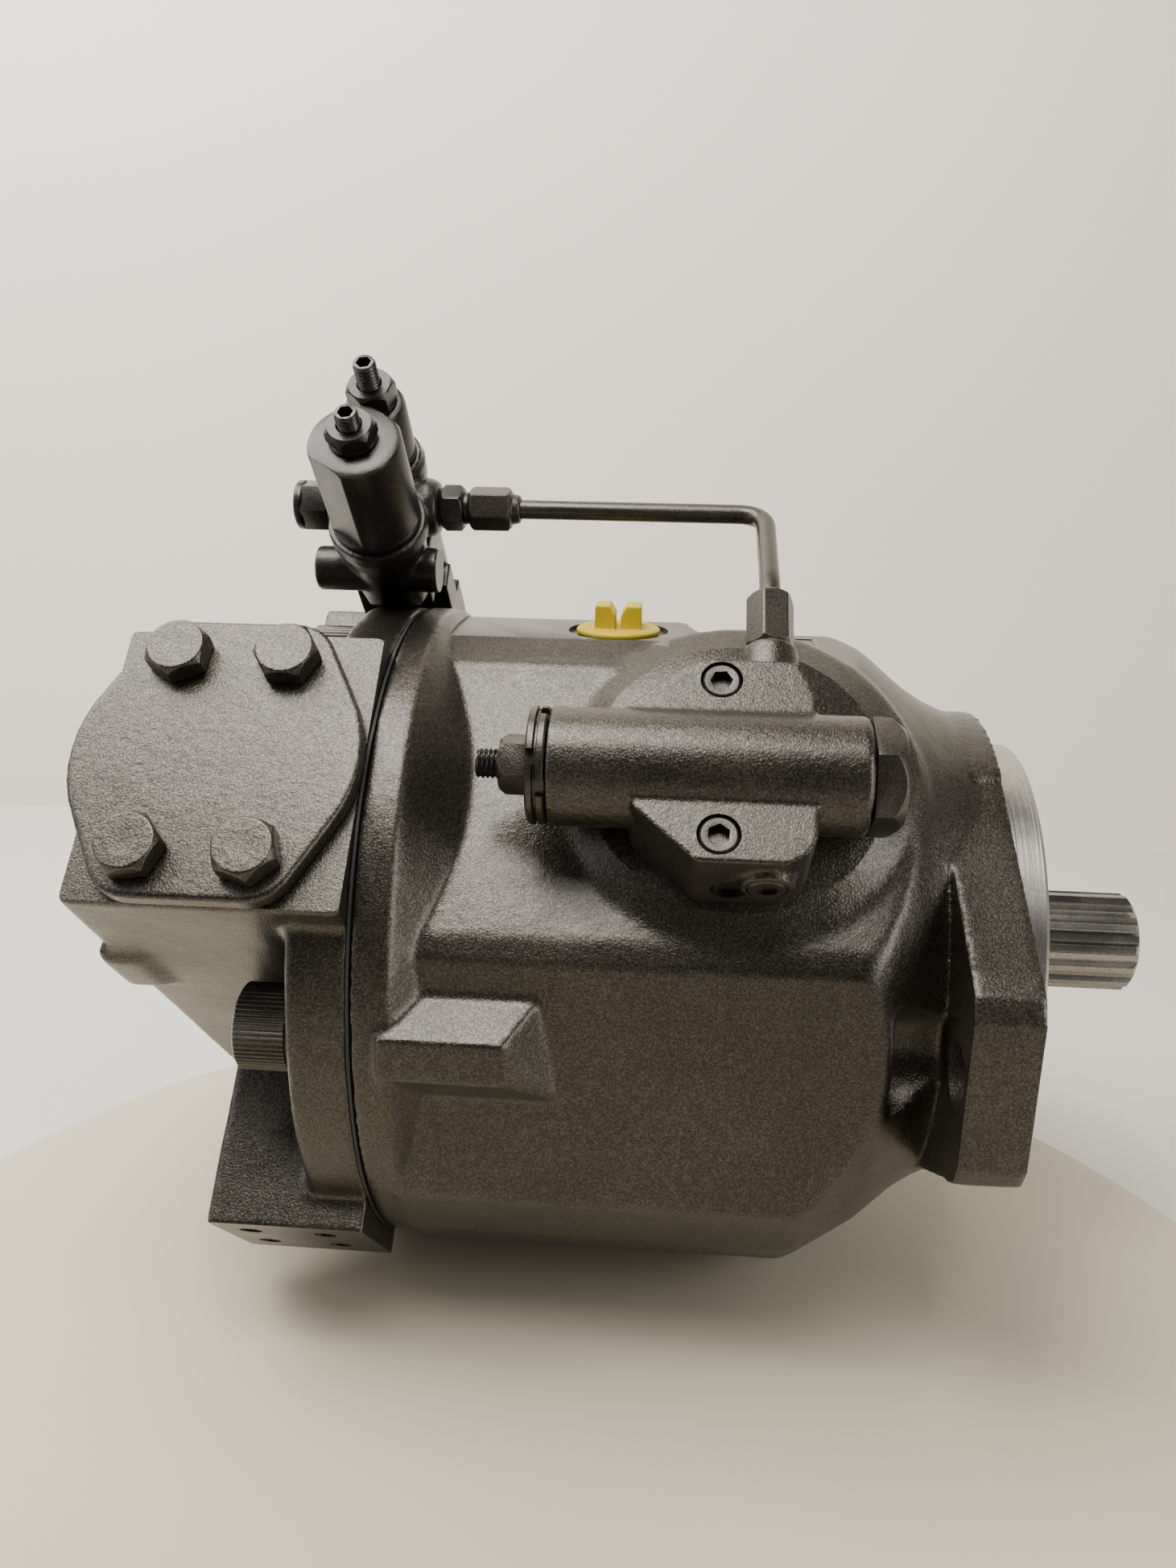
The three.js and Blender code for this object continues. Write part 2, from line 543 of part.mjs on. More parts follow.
const swashPlate = () => {
  const face = TILT_X + SHOE_HEIGHT + GAP;
  const plate = rodX(60, face, face + 11, 50);
  const arms = toSide(box([face, face + 11], [-67, 67], [-9, 9]));
  const saddle = toSide(
    rodZ(38, -34, 34, TILT_X, 0, 64).intersect(box([face + 1, -20], [-40, 40], [-34, 34])),
  );
  const middle = toSide(box([face + 11, -20], [-41, 41], [-20.5, 20.5]));
  const hole = toSide(rodX(24.6, -90, -20, 40));
  return cut(join(plate, arms, saddle), middle, hole);
};
const swashCradle = () => {
  const blocks = join(
    box([-54, -40.3], [-23, 23], [21, 33.5]),
    box([-54, -40.3], [-23, 23], [-33.5, -21]),
    box([-44, -40.3], [-23, 23], [-22, 22]),
  );
  return toSide(cut(blocks, rodZ(38.6, -40, 40, TILT_X, 0, 64), rodX(22, -50, -30, 40)));
};
const barrel = () => {
  const drum = latheX(
    [[BARREL[0], 16.4], [BARREL[0], BARREL_R - 1], [BARREL[0] + 1, BARREL_R],
      [BARREL[1] - 1, BARREL_R], [BARREL[1], BARREL_R - 1], [BARREL[1], 24], [-104, 24],
      [-104, 16.4], [BARREL[0], 16.4]],
    45,
  );
  const bores = pistonPlaces.map(([w, n]) =>
    toSide(rodX(PISTON_R + GAP, -160, -100, 20, w, n)),
  );
  const windows = pistonPlaces.map(([w, n]) =>
    toSide(rodX(5, -170, -158, 16, w, n)),
  );
  return cut(drum, ...bores, ...windows);
};
const pistonPlaces = Array.from({ length: PISTONS }, (_, i) => {
  const a = (2 * Math.PI * i) / PISTONS;
  return [PITCH_R * Math.cos(a), PITCH_R * Math.sin(a)];
});
const piston = ([w, n]) => {
  const back = TILT_X - 60;
  const body = latheX(
    [[back, 0], [back, PISTON_R - 0.6], [back + 0.6, PISTON_R], [TILT_X - 14, PISTON_R],
      [TILT_X - 10, 4.6], [TILT_X - 5, 4], [TILT_X - 5, 0]],
    20,
  );
  const ball = asSolid(new THREE.SphereGeometry(6.2, 10, 6).rotateZ(Math.PI / 2)
    .translate(TILT_X, 0, 0));
  const hollow = rodX(5.5, back - 1, back + 36, 16);
  return toSide(cut(join(body, ball), hollow).translate([0, w, n]));
};
const slipper = ([w, n]) => {
  const shoe = latheX(
    [[TILT_X - 3.6, 0], [TILT_X - 3.6, 9.4], [TILT_X + 5.2, 9.4], [TILT_X + 5.2, SLIPPER_R],
      [TILT_X + SHOE_HEIGHT, SLIPPER_R], [TILT_X + SHOE_HEIGHT, 0]],
    20,
  );
  const socket = asSolid(new THREE.SphereGeometry(7.1, 10, 6).rotateZ(Math.PI / 2)
    .translate(TILT_X, 0, 0));
  const pocket = rodX(7, TILT_X + 8.2, TILT_X + 12, 16);
  return toSide(cut(shoe, socket, pocket).translate([0, w, n]));
};
const retainer = () =>
  cut(
    ringX(28, 55, TILT_X + 1.8, TILT_X + 4.8, 40),
    ...pistonPlaces.map(([w, n]) => {
      // each hole is drawn out along W, because the shoes spread as the plate tilts
      return toSide(join(rodX(10.3, TILT_X, TILT_X + 8, 20, w, n),
        rodX(10.3, TILT_X, TILT_X + 8, 20, w * 1.055, n)));
    }),
  );
const valvePlate = () =>
  cut(
    ringX(17, BARREL_R - 1, -170.5, -166.3, 45),
    kidney(1, -175, -160),
    kidney(-1, -175, -160),
  );
const strokePiston = () => {
  const face = TILT_X + SHOE_HEIGHT + GAP;
  return toSide(
    latheX([[-185, 0], [-185, 8], [-176, 8], [-176, 4.5], [face - 7, 4.5], [face - 1, 2.5],
      [face - 1, 0]], 24, STROKE_ARM, 0),
  );
};
const biasRod = () => {
  const face = TILT_X + SHOE_HEIGHT + GAP;
  return toSide(
    latheX([[-198, 0], [-198, 3.2], [face - 14, 3.2], [face - 14, 7.4], [face - 10, 7.4],
      [face - 7, 3.4], [face - 1, 2.5], [face - 1, 0]], 24, -STROKE_ARM, 0),
  );
};

// ---- assembly ---------------------------------------------------------------------------------------
place("front_housing", frontHousing(), "paint");
place("port_plate", portPlate(), "paint");
place("housing_gasket", gasket(), "rubber");
SCREW_PLACES.forEach(([y, z], i) => place(`port_plate_screw_${i + 1}`, plateScrew(y, z), "paint"));
place("side_port_cover", portCover(), "paint");
COVER_BOLTS.forEach(([x, w], i) => place(`side_cover_bolt_${i + 1}`, coverBolt(x, w), "paint"));
place("drain_plug", drainPlug(), "yellow");
place("power_valve_body", powerBody(), "paint");
place("power_valve_ring_nut", powerRingNut(), "paint");
place("power_valve_lock_nut", powerLockNut(), "paint");
place("power_valve_stud", powerStud(), "zinc");
place("power_valve_end_plug", powerPlug(), "paint");
place("power_valve_screw_upper", powerScrew(EAR_SCREWS[0]), "paint");
place("power_valve_screw_lower", powerScrew(EAR_SCREWS[1]), "paint");
place("control_valve_body", valveBody(), "darkPaint");
place("spring_can_front", springCan(13.6, FRONT_CAN_W, FRONT_CAN_N, 129, 24), "darkPaint");
place("spring_can_rear", springCan(9.2, REAR_CAN_W, 96.4, 118, 17), "darkPaint");
place("can_lock_nut_front", canNut(FRONT_CAN_W, 129.3, 5.6), "darkPaint");
place("can_lock_nut_rear", canNut(REAR_CAN_W, 118.3, 7), "darkPaint");
place("adjusting_screw_front", canScrew(FRONT_CAN_W, 112, 139.5), "zinc");
place("adjusting_screw_rear", canScrew(REAR_CAN_W, 101, 133.5), "zinc");
place("pilot_pipe", pipeOf(PIPE_R), "paint");
place("pipe_nut_lower", pipeNutLower(), "paint");
place("pipe_nut_upper", pipeNutUpper(), "paint");
place("pipe_fitting", pipeFitting(), "paint");
place("drive_shaft", shaft(), "steel");
place("front_bearing", frontBearing(), "steel");
place("rear_bearing", rearBearing(), "steel");
place("shaft_seal", shaftSeal(), "rubber");
place("swash_plate", swashPlate(), "machined");
place("swash_cradle", swashCradle(), "bronze");
place("cylinder_barrel", barrel(), "bronze");
place("valve_plate", valvePlate(), "bronze");
place("retaining_plate", retainer(), "steel");
place("stroke_piston", strokePiston(), "steel");
place("bias_rod", biasRod(), "steel");
pistonPlaces.forEach((spot, i) => place(`piston_${i + 1}`, piston(spot), "steel"));
pistonPlaces.forEach((spot, i) => place(`slipper_${i + 1}`, slipper(spot), "bronze"));

// the origin is the middle of the whole pump's footprint
const middle = new THREE.Box3().setFromObject(pump).getCenter(new THREE.Vector3());
pump.children.forEach((mesh) => mesh.geometry.translate(-middle.x, -middle.y, 0));

export default pump;
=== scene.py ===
"""Looks of an axial piston pump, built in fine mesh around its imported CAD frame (Blender 4.5).

Shapes are drawn in millimetres in the pump frame: x = 0 at the mounting face, the shaft along +X at
y = z = 0. Side shapes use (x, w, n): N points up and towards the viewer, W up and away, both at 45
degrees. Castings are joined from plain solids, remeshed so that their corners flow together, given
a cast skin, and only then cut by the machined faces and holes.
"""
import json
import math

import bmesh
import bpy
from mathutils import Matrix, Vector


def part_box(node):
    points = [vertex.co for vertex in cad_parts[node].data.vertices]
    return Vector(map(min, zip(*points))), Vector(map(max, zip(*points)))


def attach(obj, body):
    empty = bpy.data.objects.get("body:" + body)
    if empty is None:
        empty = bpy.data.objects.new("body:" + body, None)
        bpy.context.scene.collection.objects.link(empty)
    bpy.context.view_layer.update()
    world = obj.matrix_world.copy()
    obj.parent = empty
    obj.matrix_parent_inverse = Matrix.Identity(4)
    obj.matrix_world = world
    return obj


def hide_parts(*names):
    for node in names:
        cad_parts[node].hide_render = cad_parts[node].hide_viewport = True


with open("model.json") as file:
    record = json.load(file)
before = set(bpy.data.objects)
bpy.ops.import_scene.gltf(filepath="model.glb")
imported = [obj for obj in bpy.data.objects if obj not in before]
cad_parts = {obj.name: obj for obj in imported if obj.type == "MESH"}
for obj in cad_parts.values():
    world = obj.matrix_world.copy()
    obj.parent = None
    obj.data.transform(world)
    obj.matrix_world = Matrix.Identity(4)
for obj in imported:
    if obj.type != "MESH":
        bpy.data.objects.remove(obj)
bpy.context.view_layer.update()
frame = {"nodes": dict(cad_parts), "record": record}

# ---- frame and driving dimensions, millimetres ---------------------------------------------------
MM = 0.001
SHAFT_TIP = 54
shaft_low, shaft_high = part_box("drive_shaft")
ORIGIN = Vector((
    shaft_high.x - SHAFT_TIP * MM,
    (shaft_low.y + shaft_high.y) / 2,
    (shaft_low.z + shaft_high.z) / 2,
))
FLOOR = -ORIGIN.z / MM
TO_ROW = Matrix.Translation(ORIGIN) @ Matrix.Scale(MM, 4)
SIDE = Matrix.Rotation(math.radians(45), 4, "X")
LAY_X = Matrix.Rotation(math.radians(90), 4, "Y")
LAY_W = Matrix.Rotation(math.radians(-90), 4, "X")

RIM_R = 101.3
RIM_FRONT = -164
HOUSING_END = -175.2
PLATE_START = -176.6
DISC_END = -193
BLOCK_END = -250
BLOCK_HALF = 42
PORT_FACE = 101
PORT_X = -215.2
PRESSURE_BOLTS = (15.1, 29.35)
SUCTION_BOLTS = (21.4, 34.5)
PILOT_R = 62.5
FLANGE_THICK = 18
BOLT_Y = 90
SCREW_CIRCLE = 84
PAD_FACE = 89
BODY_N = 84.5
POWER_N = 106
POWER_R = 15.6
EAR_TOP = 115
EAR_FOOT = -29.2
EAR_SCREW_X = -82.5
EAR_SCREWS = {"upper": 22.4, "lower": -21.9}
PORT_PLUG = (-70, 103.5)
VALVE_X = -187
FRONT_CAN_W = 89
FRONT_CAN_N = 94.8
FRONT_CAN_END = 129
CROSS_N = 76.5
FLAT_TURN = 55
REAR_CAN_W = 114
REAR_CAN_N = 96.4
REAR_CAN_END = 118
PIPE_X = -68.8
PIPE_TOP_W = 104
PIPE_TOP_N = 82.7
PIPE_FOOT_N = 100
PIPE_R = 3
DRAIN_X = -113
DRAIN_Y = 1
CAMERA_AT = (-93.65, -381.45, 166.95)
CAMERA_LENS = 28.43
TURNTABLE_R = 239.5
TURNTABLE_AT = (-123, -119)
WALL_Y = 420

# Spans that reach past every casting, for tools that cut a whole side away.
ACROSS = (-150, 150)
PAST_PLATE = (-300, -100)

# The (y, z) places of the four long screws, and the (x, w) places of the pressure port's bolts.
LONG_SCREWS = [
    (SCREW_CIRCLE * math.cos(i * math.pi / 2), SCREW_CIRCLE * math.sin(i * math.pi / 2))
    for i in range(4)
]


def round_port(half_x, half_w):
    return [(PORT_X + i * half_x, k * half_w) for i in (-1, 1) for k in (-1, 1)]


COVER_BOLTS = round_port(*PRESSURE_BOLTS)


# ---- solids: (points, faces) ---------------------------------------------------------------------
def shift(x=0, y=0, z=0):
    return Matrix.Translation((x, y, z))


def place(solid, *moves):
    """The solid after the moves, the last of which is made first."""
    matrix = Matrix.Identity(4)
    for move in moves:
        matrix = matrix @ move
    points, faces = solid
    return [matrix @ Vector(p) for p in points], faces


def lathe(profile, steps=64, radius_at=None):
    """Turned about Z from (height, radius) pairs that start and end on the axis, or close up."""
    closed = profile[0] == profile[-1]
    rings, points, faces = [], [], []
    for height, radius in profile[:-1] if closed else profile:
        ring = []
        for i in range(steps if radius else 1):
            angle = 2 * math.pi * i / steps
            r = radius_at(height, radius, angle) if radius_at else radius
            ring.append(len(points))
            points.append(Vector((r * math.cos(angle), r * math.sin(angle), height)))
        rings.append(ring)
    if closed:
        rings.append(rings[0])
    for low, high in zip(rings, rings[1:]):
        for i in range(steps):
            j = (i + 1) % steps
            corners = [low[i % len(low)], low[j % len(low)], high[j % len(high)], high[i % len(high)]]
            corners = list(dict.fromkeys(corners))
            if len(corners) > 2:
                faces.append(corners)
    return points, faces


def rod(radius, start, end, steps=64):
    return lathe([(start, 0), (start, radius), (end, radius), (end, 0)], steps)


def rod_x(radius, start, end, y=0, z=0, steps=64):
    return place(rod(radius, start, end, steps), shift(0, y, z), LAY_X)


def lathe_x(profile, y=0, z=0, steps=96):
    return place(lathe(profile, steps), shift(0, y, z), LAY_X)


def prism(outline, start, end):
    count = len(outline)
    points = [Vector((x, y, start)) for x, y in outline] + [Vector((x, y, end)) for x, y in outline]
    faces = [list(range(count))[::-1], list(range(count, 2 * count))]
    faces += [[i, (i + 1) % count, count + (i + 1) % count, count + i] for i in range(count)]
    return points, faces


def prism_x(outline, start, end):
    """A prism along X of an outline of (y, z) points."""
    turn = Matrix(((0, 0, 1, 0), (1, 0, 0, 0), (0, 1, 0, 0), (0, 0, 0, 1)))
    return place(prism(outline, start, end), turn)


def block(x, y, z):
    outline = [(x[0], y[0]), (x[1], y[0]), (x[1], y[1]), (x[0], y[1])]
    return prism(outline, z[0], z[1])


def hull(points):
    shell = bmesh.new()
    for p in points:
        shell.verts.new(p)
    made = bmesh.ops.convex_hull(shell, input=shell.verts)
    spare = [v for v in made["geom_interior"] if isinstance(v, bmesh.types.BMVert)]
    bmesh.ops.delete(shell, geom=spare, context="VERTS")
    shell.verts.index_update()
    solid = [v.co.copy() for v in shell.verts], [[v.index for v in f.verts] for f in shell.faces]
    shell.free()
    return solid


def frustum(low, high):
    """The hull of two outlines of (x, y, z) points."""
    return hull([Vector(p) for p in [*low, *high]])


def polygon(count, across, turn=0):
    """A regular polygon by its width across flats."""
    radius = across / 2 / math.cos(math.pi / count)
    return [
        (radius * math.cos(turn + 2 * math.pi * i / count),
         radius * math.sin(turn + 2 * math.pi * i / count))
        for i in range(count)
    ]


def round_outline(circles, steps=48):
    """The convex outline round circles given as (x, y, radius)."""
    points = [
        (x + r * math.cos(2 * math.pi * i / steps), y + r * math.sin(2 * math.pi * i / steps))
        for x, y, r in circles for i in range(steps)
    ]
    points.sort()

    def chain(order):
        kept = []
        for p in order:
            while len(kept) > 1 and (
                (kept[-1][0] - kept[-2][0]) * (p[1] - kept[-2][1])
                - (kept[-1][1] - kept[-2][1]) * (p[0] - kept[-2][0])
            ) <= 1e-9:
                kept.pop()
            kept.append(p)
        return kept[:-1]

    return chain(points) + chain(points[::-1])


# ---- objects and modifiers -----------------------------------------------------------------------
def raw(name, solids):
    """One mesh object, in millimetres, of several solids."""
    points, faces = [], []
    for part_points, part_faces in solids:
        start = len(points)
        points += [tuple(p) for p in part_points]
        faces += [[start + i for i in face] for face in part_faces]
    mesh = bpy.data.meshes.new(name)
    mesh.from_pydata(points, [], faces)
    shell = bmesh.new()
    shell.from_mesh(mesh)
    bmesh.ops.recalc_face_normals(shell, faces=shell.faces)
    shell.to_mesh(mesh)
    shell.free()
    obj = bpy.data.objects.new(name, mesh)
    bpy.context.scene.collection.objects.link(obj)
    return obj


def bake(obj):
    graph = bpy.context.evaluated_depsgraph_get()
    made = bpy.data.meshes.new_from_object(obj.evaluated_get(graph))
    obj.modifiers.clear()
    obj.data = made


def carve(obj, solids, operation="DIFFERENCE"):
    """Each solid is cut out of the object in turn, or the operation that is named."""
    for solid in solids:
        tool = raw("tool", [solid])
        cut = obj.modifiers.new("cut", "BOOLEAN")
        cut.operation = operation
        cut.solver = "MANIFOLD"
        cut.object = tool
        bake(obj)
        bpy.data.objects.remove(tool)


def common(first, second):
    """The solid that two solids share."""
    obj = raw("common", [first])
    carve(obj, [second], "INTERSECT")
    solid = [v.co.copy() for v in obj.data.vertices], [list(p.vertices) for p in obj.data.polygons]
    bpy.data.objects.remove(obj)
    return solid


def melt(obj, voxel, rounds):
    """Joins what overlaps into one skin and softens its corners."""
    remesh = obj.modifiers.new("remesh", "REMESH")
    remesh.mode = "VOXEL"
    remesh.voxel_size = voxel
    soften = obj.modifiers.new("soften", "SMOOTH")
    soften.factor = 0.5
    soften.iterations = rounds
    bake(obj)


def cloud(name, size, depth):
    texture = bpy.data.textures.new(name, "CLOUDS")
    texture.noise_scale = size
    texture.noise_depth = depth
    return texture


CAST_WAVES = cloud("cast_waves", 16, 1)
CAST_PEEL = cloud("cast_peel", 1.6, 2)


def cast_skin(obj, waves=0.35, peel=0.16):
    """The low waves and the orange peel of a sand casting."""
    for texture, depth in ((CAST_WAVES, waves), (CAST_PEEL, peel)):
        skin = obj.modifiers.new("skin", "DISPLACE")
        skin.texture = texture
        skin.texture_coords = "LOCAL"
        skin.strength = depth
        skin.mid_level = 0.75
    bake(obj)


def merge(obj, solids):
    """Adds solids to an object's mesh without joining them up."""
    extra = raw("extra", solids)
    shell = bmesh.new()
    shell.from_mesh(obj.data)
    shell.from_mesh(extra.data)
    shell.to_mesh(obj.data)
    shell.free()
    bpy.data.objects.remove(extra)


def bevel(obj, width):
    edge = obj.modifiers.new("edge", "BEVEL")
    edge.width = width
    edge.segments = 2
    edge.limit_method = "ANGLE"
    edge.angle_limit = math.radians(30)
    bake(obj)


def settle(obj, material, replaced=(), body="pump_body", sharp=38):
    """Takes the finished piece to the row frame and hangs it on its body."""
    obj.data.transform(TO_ROW)
    obj.data.shade_smooth()
    obj.data.set_sharp_from_angle(angle=math.radians(sharp))
    obj.data.materials.clear()
    obj.data.materials.append(material)
    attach(obj, body)
    if replaced:
        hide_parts(*replaced)


# ---- materials -----------------------------------------------------------------------------------
def procedural(name, base, rough, metallic, grain, bump, spread, flakes, coat=0.0, lines=None):
    """A finish with mottled colour, flakes and a bumped skin, or brushed along lines if given.

    Grain scales the size of the flakes and bumps, and spread and flakes the strength of each.
    """
    material = bpy.data.materials.new(name)
    material.use_nodes = True
    nodes, links = material.node_tree.nodes, material.node_tree.links
    sockets = nodes["Principled BSDF"].inputs
    sockets["Metallic"].default_value = metallic
    sockets["Coat Weight"].default_value = coat
    sockets["Coat Roughness"].default_value = 0.25
    coordinates = nodes.new("ShaderNodeTexCoord")

    def noise(scale, detail=3.0, stretch=None):
        node = nodes.new("ShaderNodeTexNoise")
        node.inputs["Scale"].default_value = scale
        node.inputs["Detail"].default_value = detail
        source = coordinates.outputs["Object"]
        if stretch:
            mapping = nodes.new("ShaderNodeMapping")
            mapping.inputs["Scale"].default_value = stretch
            links.new(source, mapping.inputs["Vector"])
            source = mapping.outputs["Vector"]
        links.new(source, node.inputs["Vector"])
        return node

    def ramp(source, low, high, first, last):
        node = nodes.new("ShaderNodeMapRange")
        node.inputs["From Min"].default_value = low
        node.inputs["From Max"].default_value = high
        node.inputs["To Min"].default_value = first
        node.inputs["To Max"].default_value = last
        links.new(source, node.inputs["Value"])
        return node.outputs["Result"]

    cells = nodes.new("ShaderNodeTexVoronoi")
    cells.inputs["Scale"].default_value = 1900 / grain
    links.new(coordinates.outputs["Object"], cells.inputs["Vector"])
    fine = noise(1300 / grain, 2.0)
    broad = noise(38, 3.0)
    speck = ramp(cells.outputs["Color"], 0.25, 0.95, 1 - flakes * 0.5, 1 + flakes)
    tone = ramp(broad.outputs["Fac"], 0.35, 0.65, 1 - spread * 0.35, 1 + spread * 0.35)
    mottle = ramp(fine.outputs["Fac"], 0.35, 0.65, 1 - spread, 1 + spread)
    product = nodes.new("ShaderNodeMath")
    product.operation = "MULTIPLY"
    links.new(speck, product.inputs[0])
    links.new(mottle, product.inputs[1])
    shade = nodes.new("ShaderNodeMath")
    shade.operation = "MULTIPLY"
    links.new(product.outputs[0], shade.inputs[0])
    links.new(tone, shade.inputs[1])
    tint = nodes.new("ShaderNodeVectorMath")
    tint.operation = "SCALE"
    tint.inputs[0].default_value = base
    links.new(shade.outputs[0], tint.inputs["Scale"])
    links.new(tint.outputs["Vector"], sockets["Base Color"])
    links.new(ramp(broad.outputs["Fac"], 0.3, 0.7, rough - 0.06, rough + 0.08), sockets["Roughness"])

    height = fine.outputs["Fac"]
    if lines:
        height = noise(1.0, 2.0, lines).outputs["Fac"]
    relief = nodes.new("ShaderNodeBump")
    relief.inputs["Strength"].default_value = bump
    relief.inputs["Distance"].default_value = 0.00025 * grain
    links.new(height, relief.inputs["Height"])
    links.new(relief.outputs["Normal"], sockets["Normal"])
    return material


PAINT = procedural("cast_paint", (0.044, 0.038, 0.029), rough=0.34, metallic=0.72,
                   grain=0.75, bump=1.0, spread=0.30, flakes=0.9, coat=0.3)
SMOOTH_PAINT = procedural("smooth_paint", (0.044, 0.038, 0.030), rough=0.33, metallic=0.72,
                          grain=0.6, bump=0.6, spread=0.2, flakes=0.6, coat=0.3)
DARK_PAINT = procedural("dark_paint", (0.020, 0.018, 0.015), rough=0.33, metallic=0.7,
                        grain=0.6, bump=0.5, spread=0.2, flakes=0.5, coat=0.3)
BARE = procedural("bare_steel", (0.30, 0.285, 0.26), rough=0.26, metallic=1.0,
                  grain=1.2, bump=0.15, spread=0.12, flakes=0.12, lines=(900, 40, 40))
PILOT_STEEL = procedural("turned_pilot", (0.50, 0.48, 0.44), rough=0.34, metallic=1.0,
                         grain=1.0, bump=0.3, spread=0.12, flakes=0.1, lines=(1600, 25, 25))
BRONZE = procedural("bronze", (0.50, 0.33, 0.14), rough=0.34, metallic=1.0,
                    grain=1.2, bump=0.2, spread=0.15, flakes=0.15)
BLACKED = procedural("blacked_steel", (0.07, 0.067, 0.062), rough=0.33, metallic=0.9,
                     grain=0.8, bump=0.25, spread=0.3, flakes=0.2)
RUBBER = procedural("black_rubber", (0.018, 0.018, 0.018), rough=0.7, metallic=0.0,
                    grain=1.0, bump=0.3, spread=0.2, flakes=0.1)
YELLOW = procedural("yellow_plastic", (0.44, 0.32, 0.0), rough=0.5, metallic=0.0,
                    grain=2.0, bump=0.12, spread=0.03, flakes=0.02)


# ---- camera, floor and lights --------------------------------------------------------------------
def matte(name, colour, rough):
    material = bpy.data.materials.new(name)
    material.use_nodes = True
    nodes, links = material.node_tree.nodes, material.node_tree.links
    shader = nodes["Principled BSDF"]
    shader.inputs["Roughness"].default_value = rough
    noise = nodes.new("ShaderNodeTexNoise")
    noise.inputs["Scale"].default_value = 6
    blend = nodes.new("ShaderNodeMapRange")
    blend.inputs["To Min"].default_value = 0.96
    blend.inputs["To Max"].default_value = 1.04
    links.new(noise.outputs["Fac"], blend.inputs["Value"])
    tint = nodes.new("ShaderNodeVectorMath")
    tint.operation = "SCALE"
    tint.inputs[0].default_value = colour
    links.new(blend.outputs["Result"], tint.inputs["Scale"])
    links.new(tint.outputs["Vector"], shader.inputs["Base Color"])
    return material


def camera():
    data = bpy.data.cameras.new("camera")
    data.sensor_width = 36
    data.lens = CAMERA_LENS
    data.clip_start = 0.01
    right = Vector((0.99683328, 0.07803069, 0.01531741))
    up = Vector((-0.03797258, 0.2978536, 0.95385602))
    forward = Vector((-0.0698677, 0.95141707, -0.29987341))
    obj = bpy.data.objects.new("camera", data)
    turn = Matrix((right, up, -forward)).transposed().to_4x4()
    obj.matrix_world = Matrix.Translation(TO_ROW @ Vector(CAMERA_AT)) @ turn
    bpy.context.scene.collection.objects.link(obj)
    bpy.context.scene.camera = obj


def stage():
    """The round white turntable on a pale floor, before a pale wall."""
    top = FLOOR - 0.02
    profile = [(-14, 0), (-14, TURNTABLE_R - 1), (-13, TURNTABLE_R), (-1, TURNTABLE_R),
               (0, TURNTABLE_R - 1), (0, 0)]
    disc = raw("turntable", [place(lathe(profile, 160), shift(*TURNTABLE_AT, top))])
    floor = raw("floor", [block((-1500, 1300), (-1400, WALL_Y), (top - 22, top - 14))])
    wall = raw("wall", [block((-1500, 1300), (WALL_Y, WALL_Y + 10), (top - 22, top + 1500))])
    for obj, material in (
        (disc, matte("turntable_white", (0.54, 0.485, 0.37), 0.6)),
        (floor, matte("floor_pale", (0.62, 0.60, 0.54), 0.8)),
        (wall, matte("wall_pale", (0.74, 0.70, 0.62), 0.8)),
    ):
        obj.data.transform(TO_ROW)
        obj.data.materials.append(material)
        for face in obj.data.polygons:
            face.use_smooth = False


def lamp(name, at, aim, size, power, colour):
    data = bpy.data.lights.new(name, "AREA")
    data.shape = "RECTANGLE"
    data.size, data.size_y = size
    data.energy = power
    data.color = colour
    obj = bpy.data.objects.new(name, data)
    centre = TO_ROW @ Vector(at)
    turn = ((TO_ROW @ Vector(aim)) - centre).to_track_quat("-Z", "Y")
    obj.matrix_world = Matrix.Translation(centre) @ turn.to_matrix().to_4x4()
    bpy.context.scene.collection.objects.link(obj)


def lights():
    """A soft ceiling lamp over the viewer, and fill from the back, the left and the right."""
    world = bpy.data.worlds.new("world")
    bpy.context.scene.world = world
    world.use_nodes = True
    background = world.node_tree.nodes["Background"]
    background.inputs["Color"].default_value = (1.0, 0.97, 0.91, 1)
    background.inputs["Strength"].default_value = 0.07
    lamp("ceiling", at=(-140, -380, 880), aim=(-110, -40, 0), size=(0.55, 0.35), power=4.6,
         colour=(1.0, 0.97, 0.92))
    lamp("backdrop", at=(-620, 20, 760), aim=(-480, 420, 200), size=(1.1, 0.5), power=20,
         colour=(1.0, 0.98, 0.95))
    lamp("left_window", at=(-900, -350, 420), aim=(-110, 0, 20), size=(0.6, 0.8), power=2.5,
         colour=(0.97, 0.98, 1.0))
    lamp("right_strip", at=(560, -330, 160), aim=(-60, -60, -20), size=(0.22, 0.7), power=4,
         colour=(1.0, 0.98, 0.95))


camera()
stage()
lights()


# ---- front housing -------------------------------------------------------------------------------
def body_outline():
    viewer_side = [(-27, 92.8), (-30, 89.5), (-88, 31.5), (-91, 26), (-91, -47), (-77, -68),
                   (-63, -82), (-48, -92), (-34, -99)]
    return viewer_side + [(-y, z) for y, z in viewer_side[::-1]]


def flange_outline():
    quarter = [(102, 0), (102, 21.5), (99.5, 27), (94, 30.6), (88.7, 32.9), (33, 64)]
    arc = [(73 * math.cos(math.radians(a)), 73 * math.sin(math.radians(a))) for a in range(62, 91, 4)]
    right = quarter + arc
    top = right + [(-y, z) for y, z in right[:-1][::-1]]
    return top + [(y, -z) for y, z in top[1:-1][::-1]]


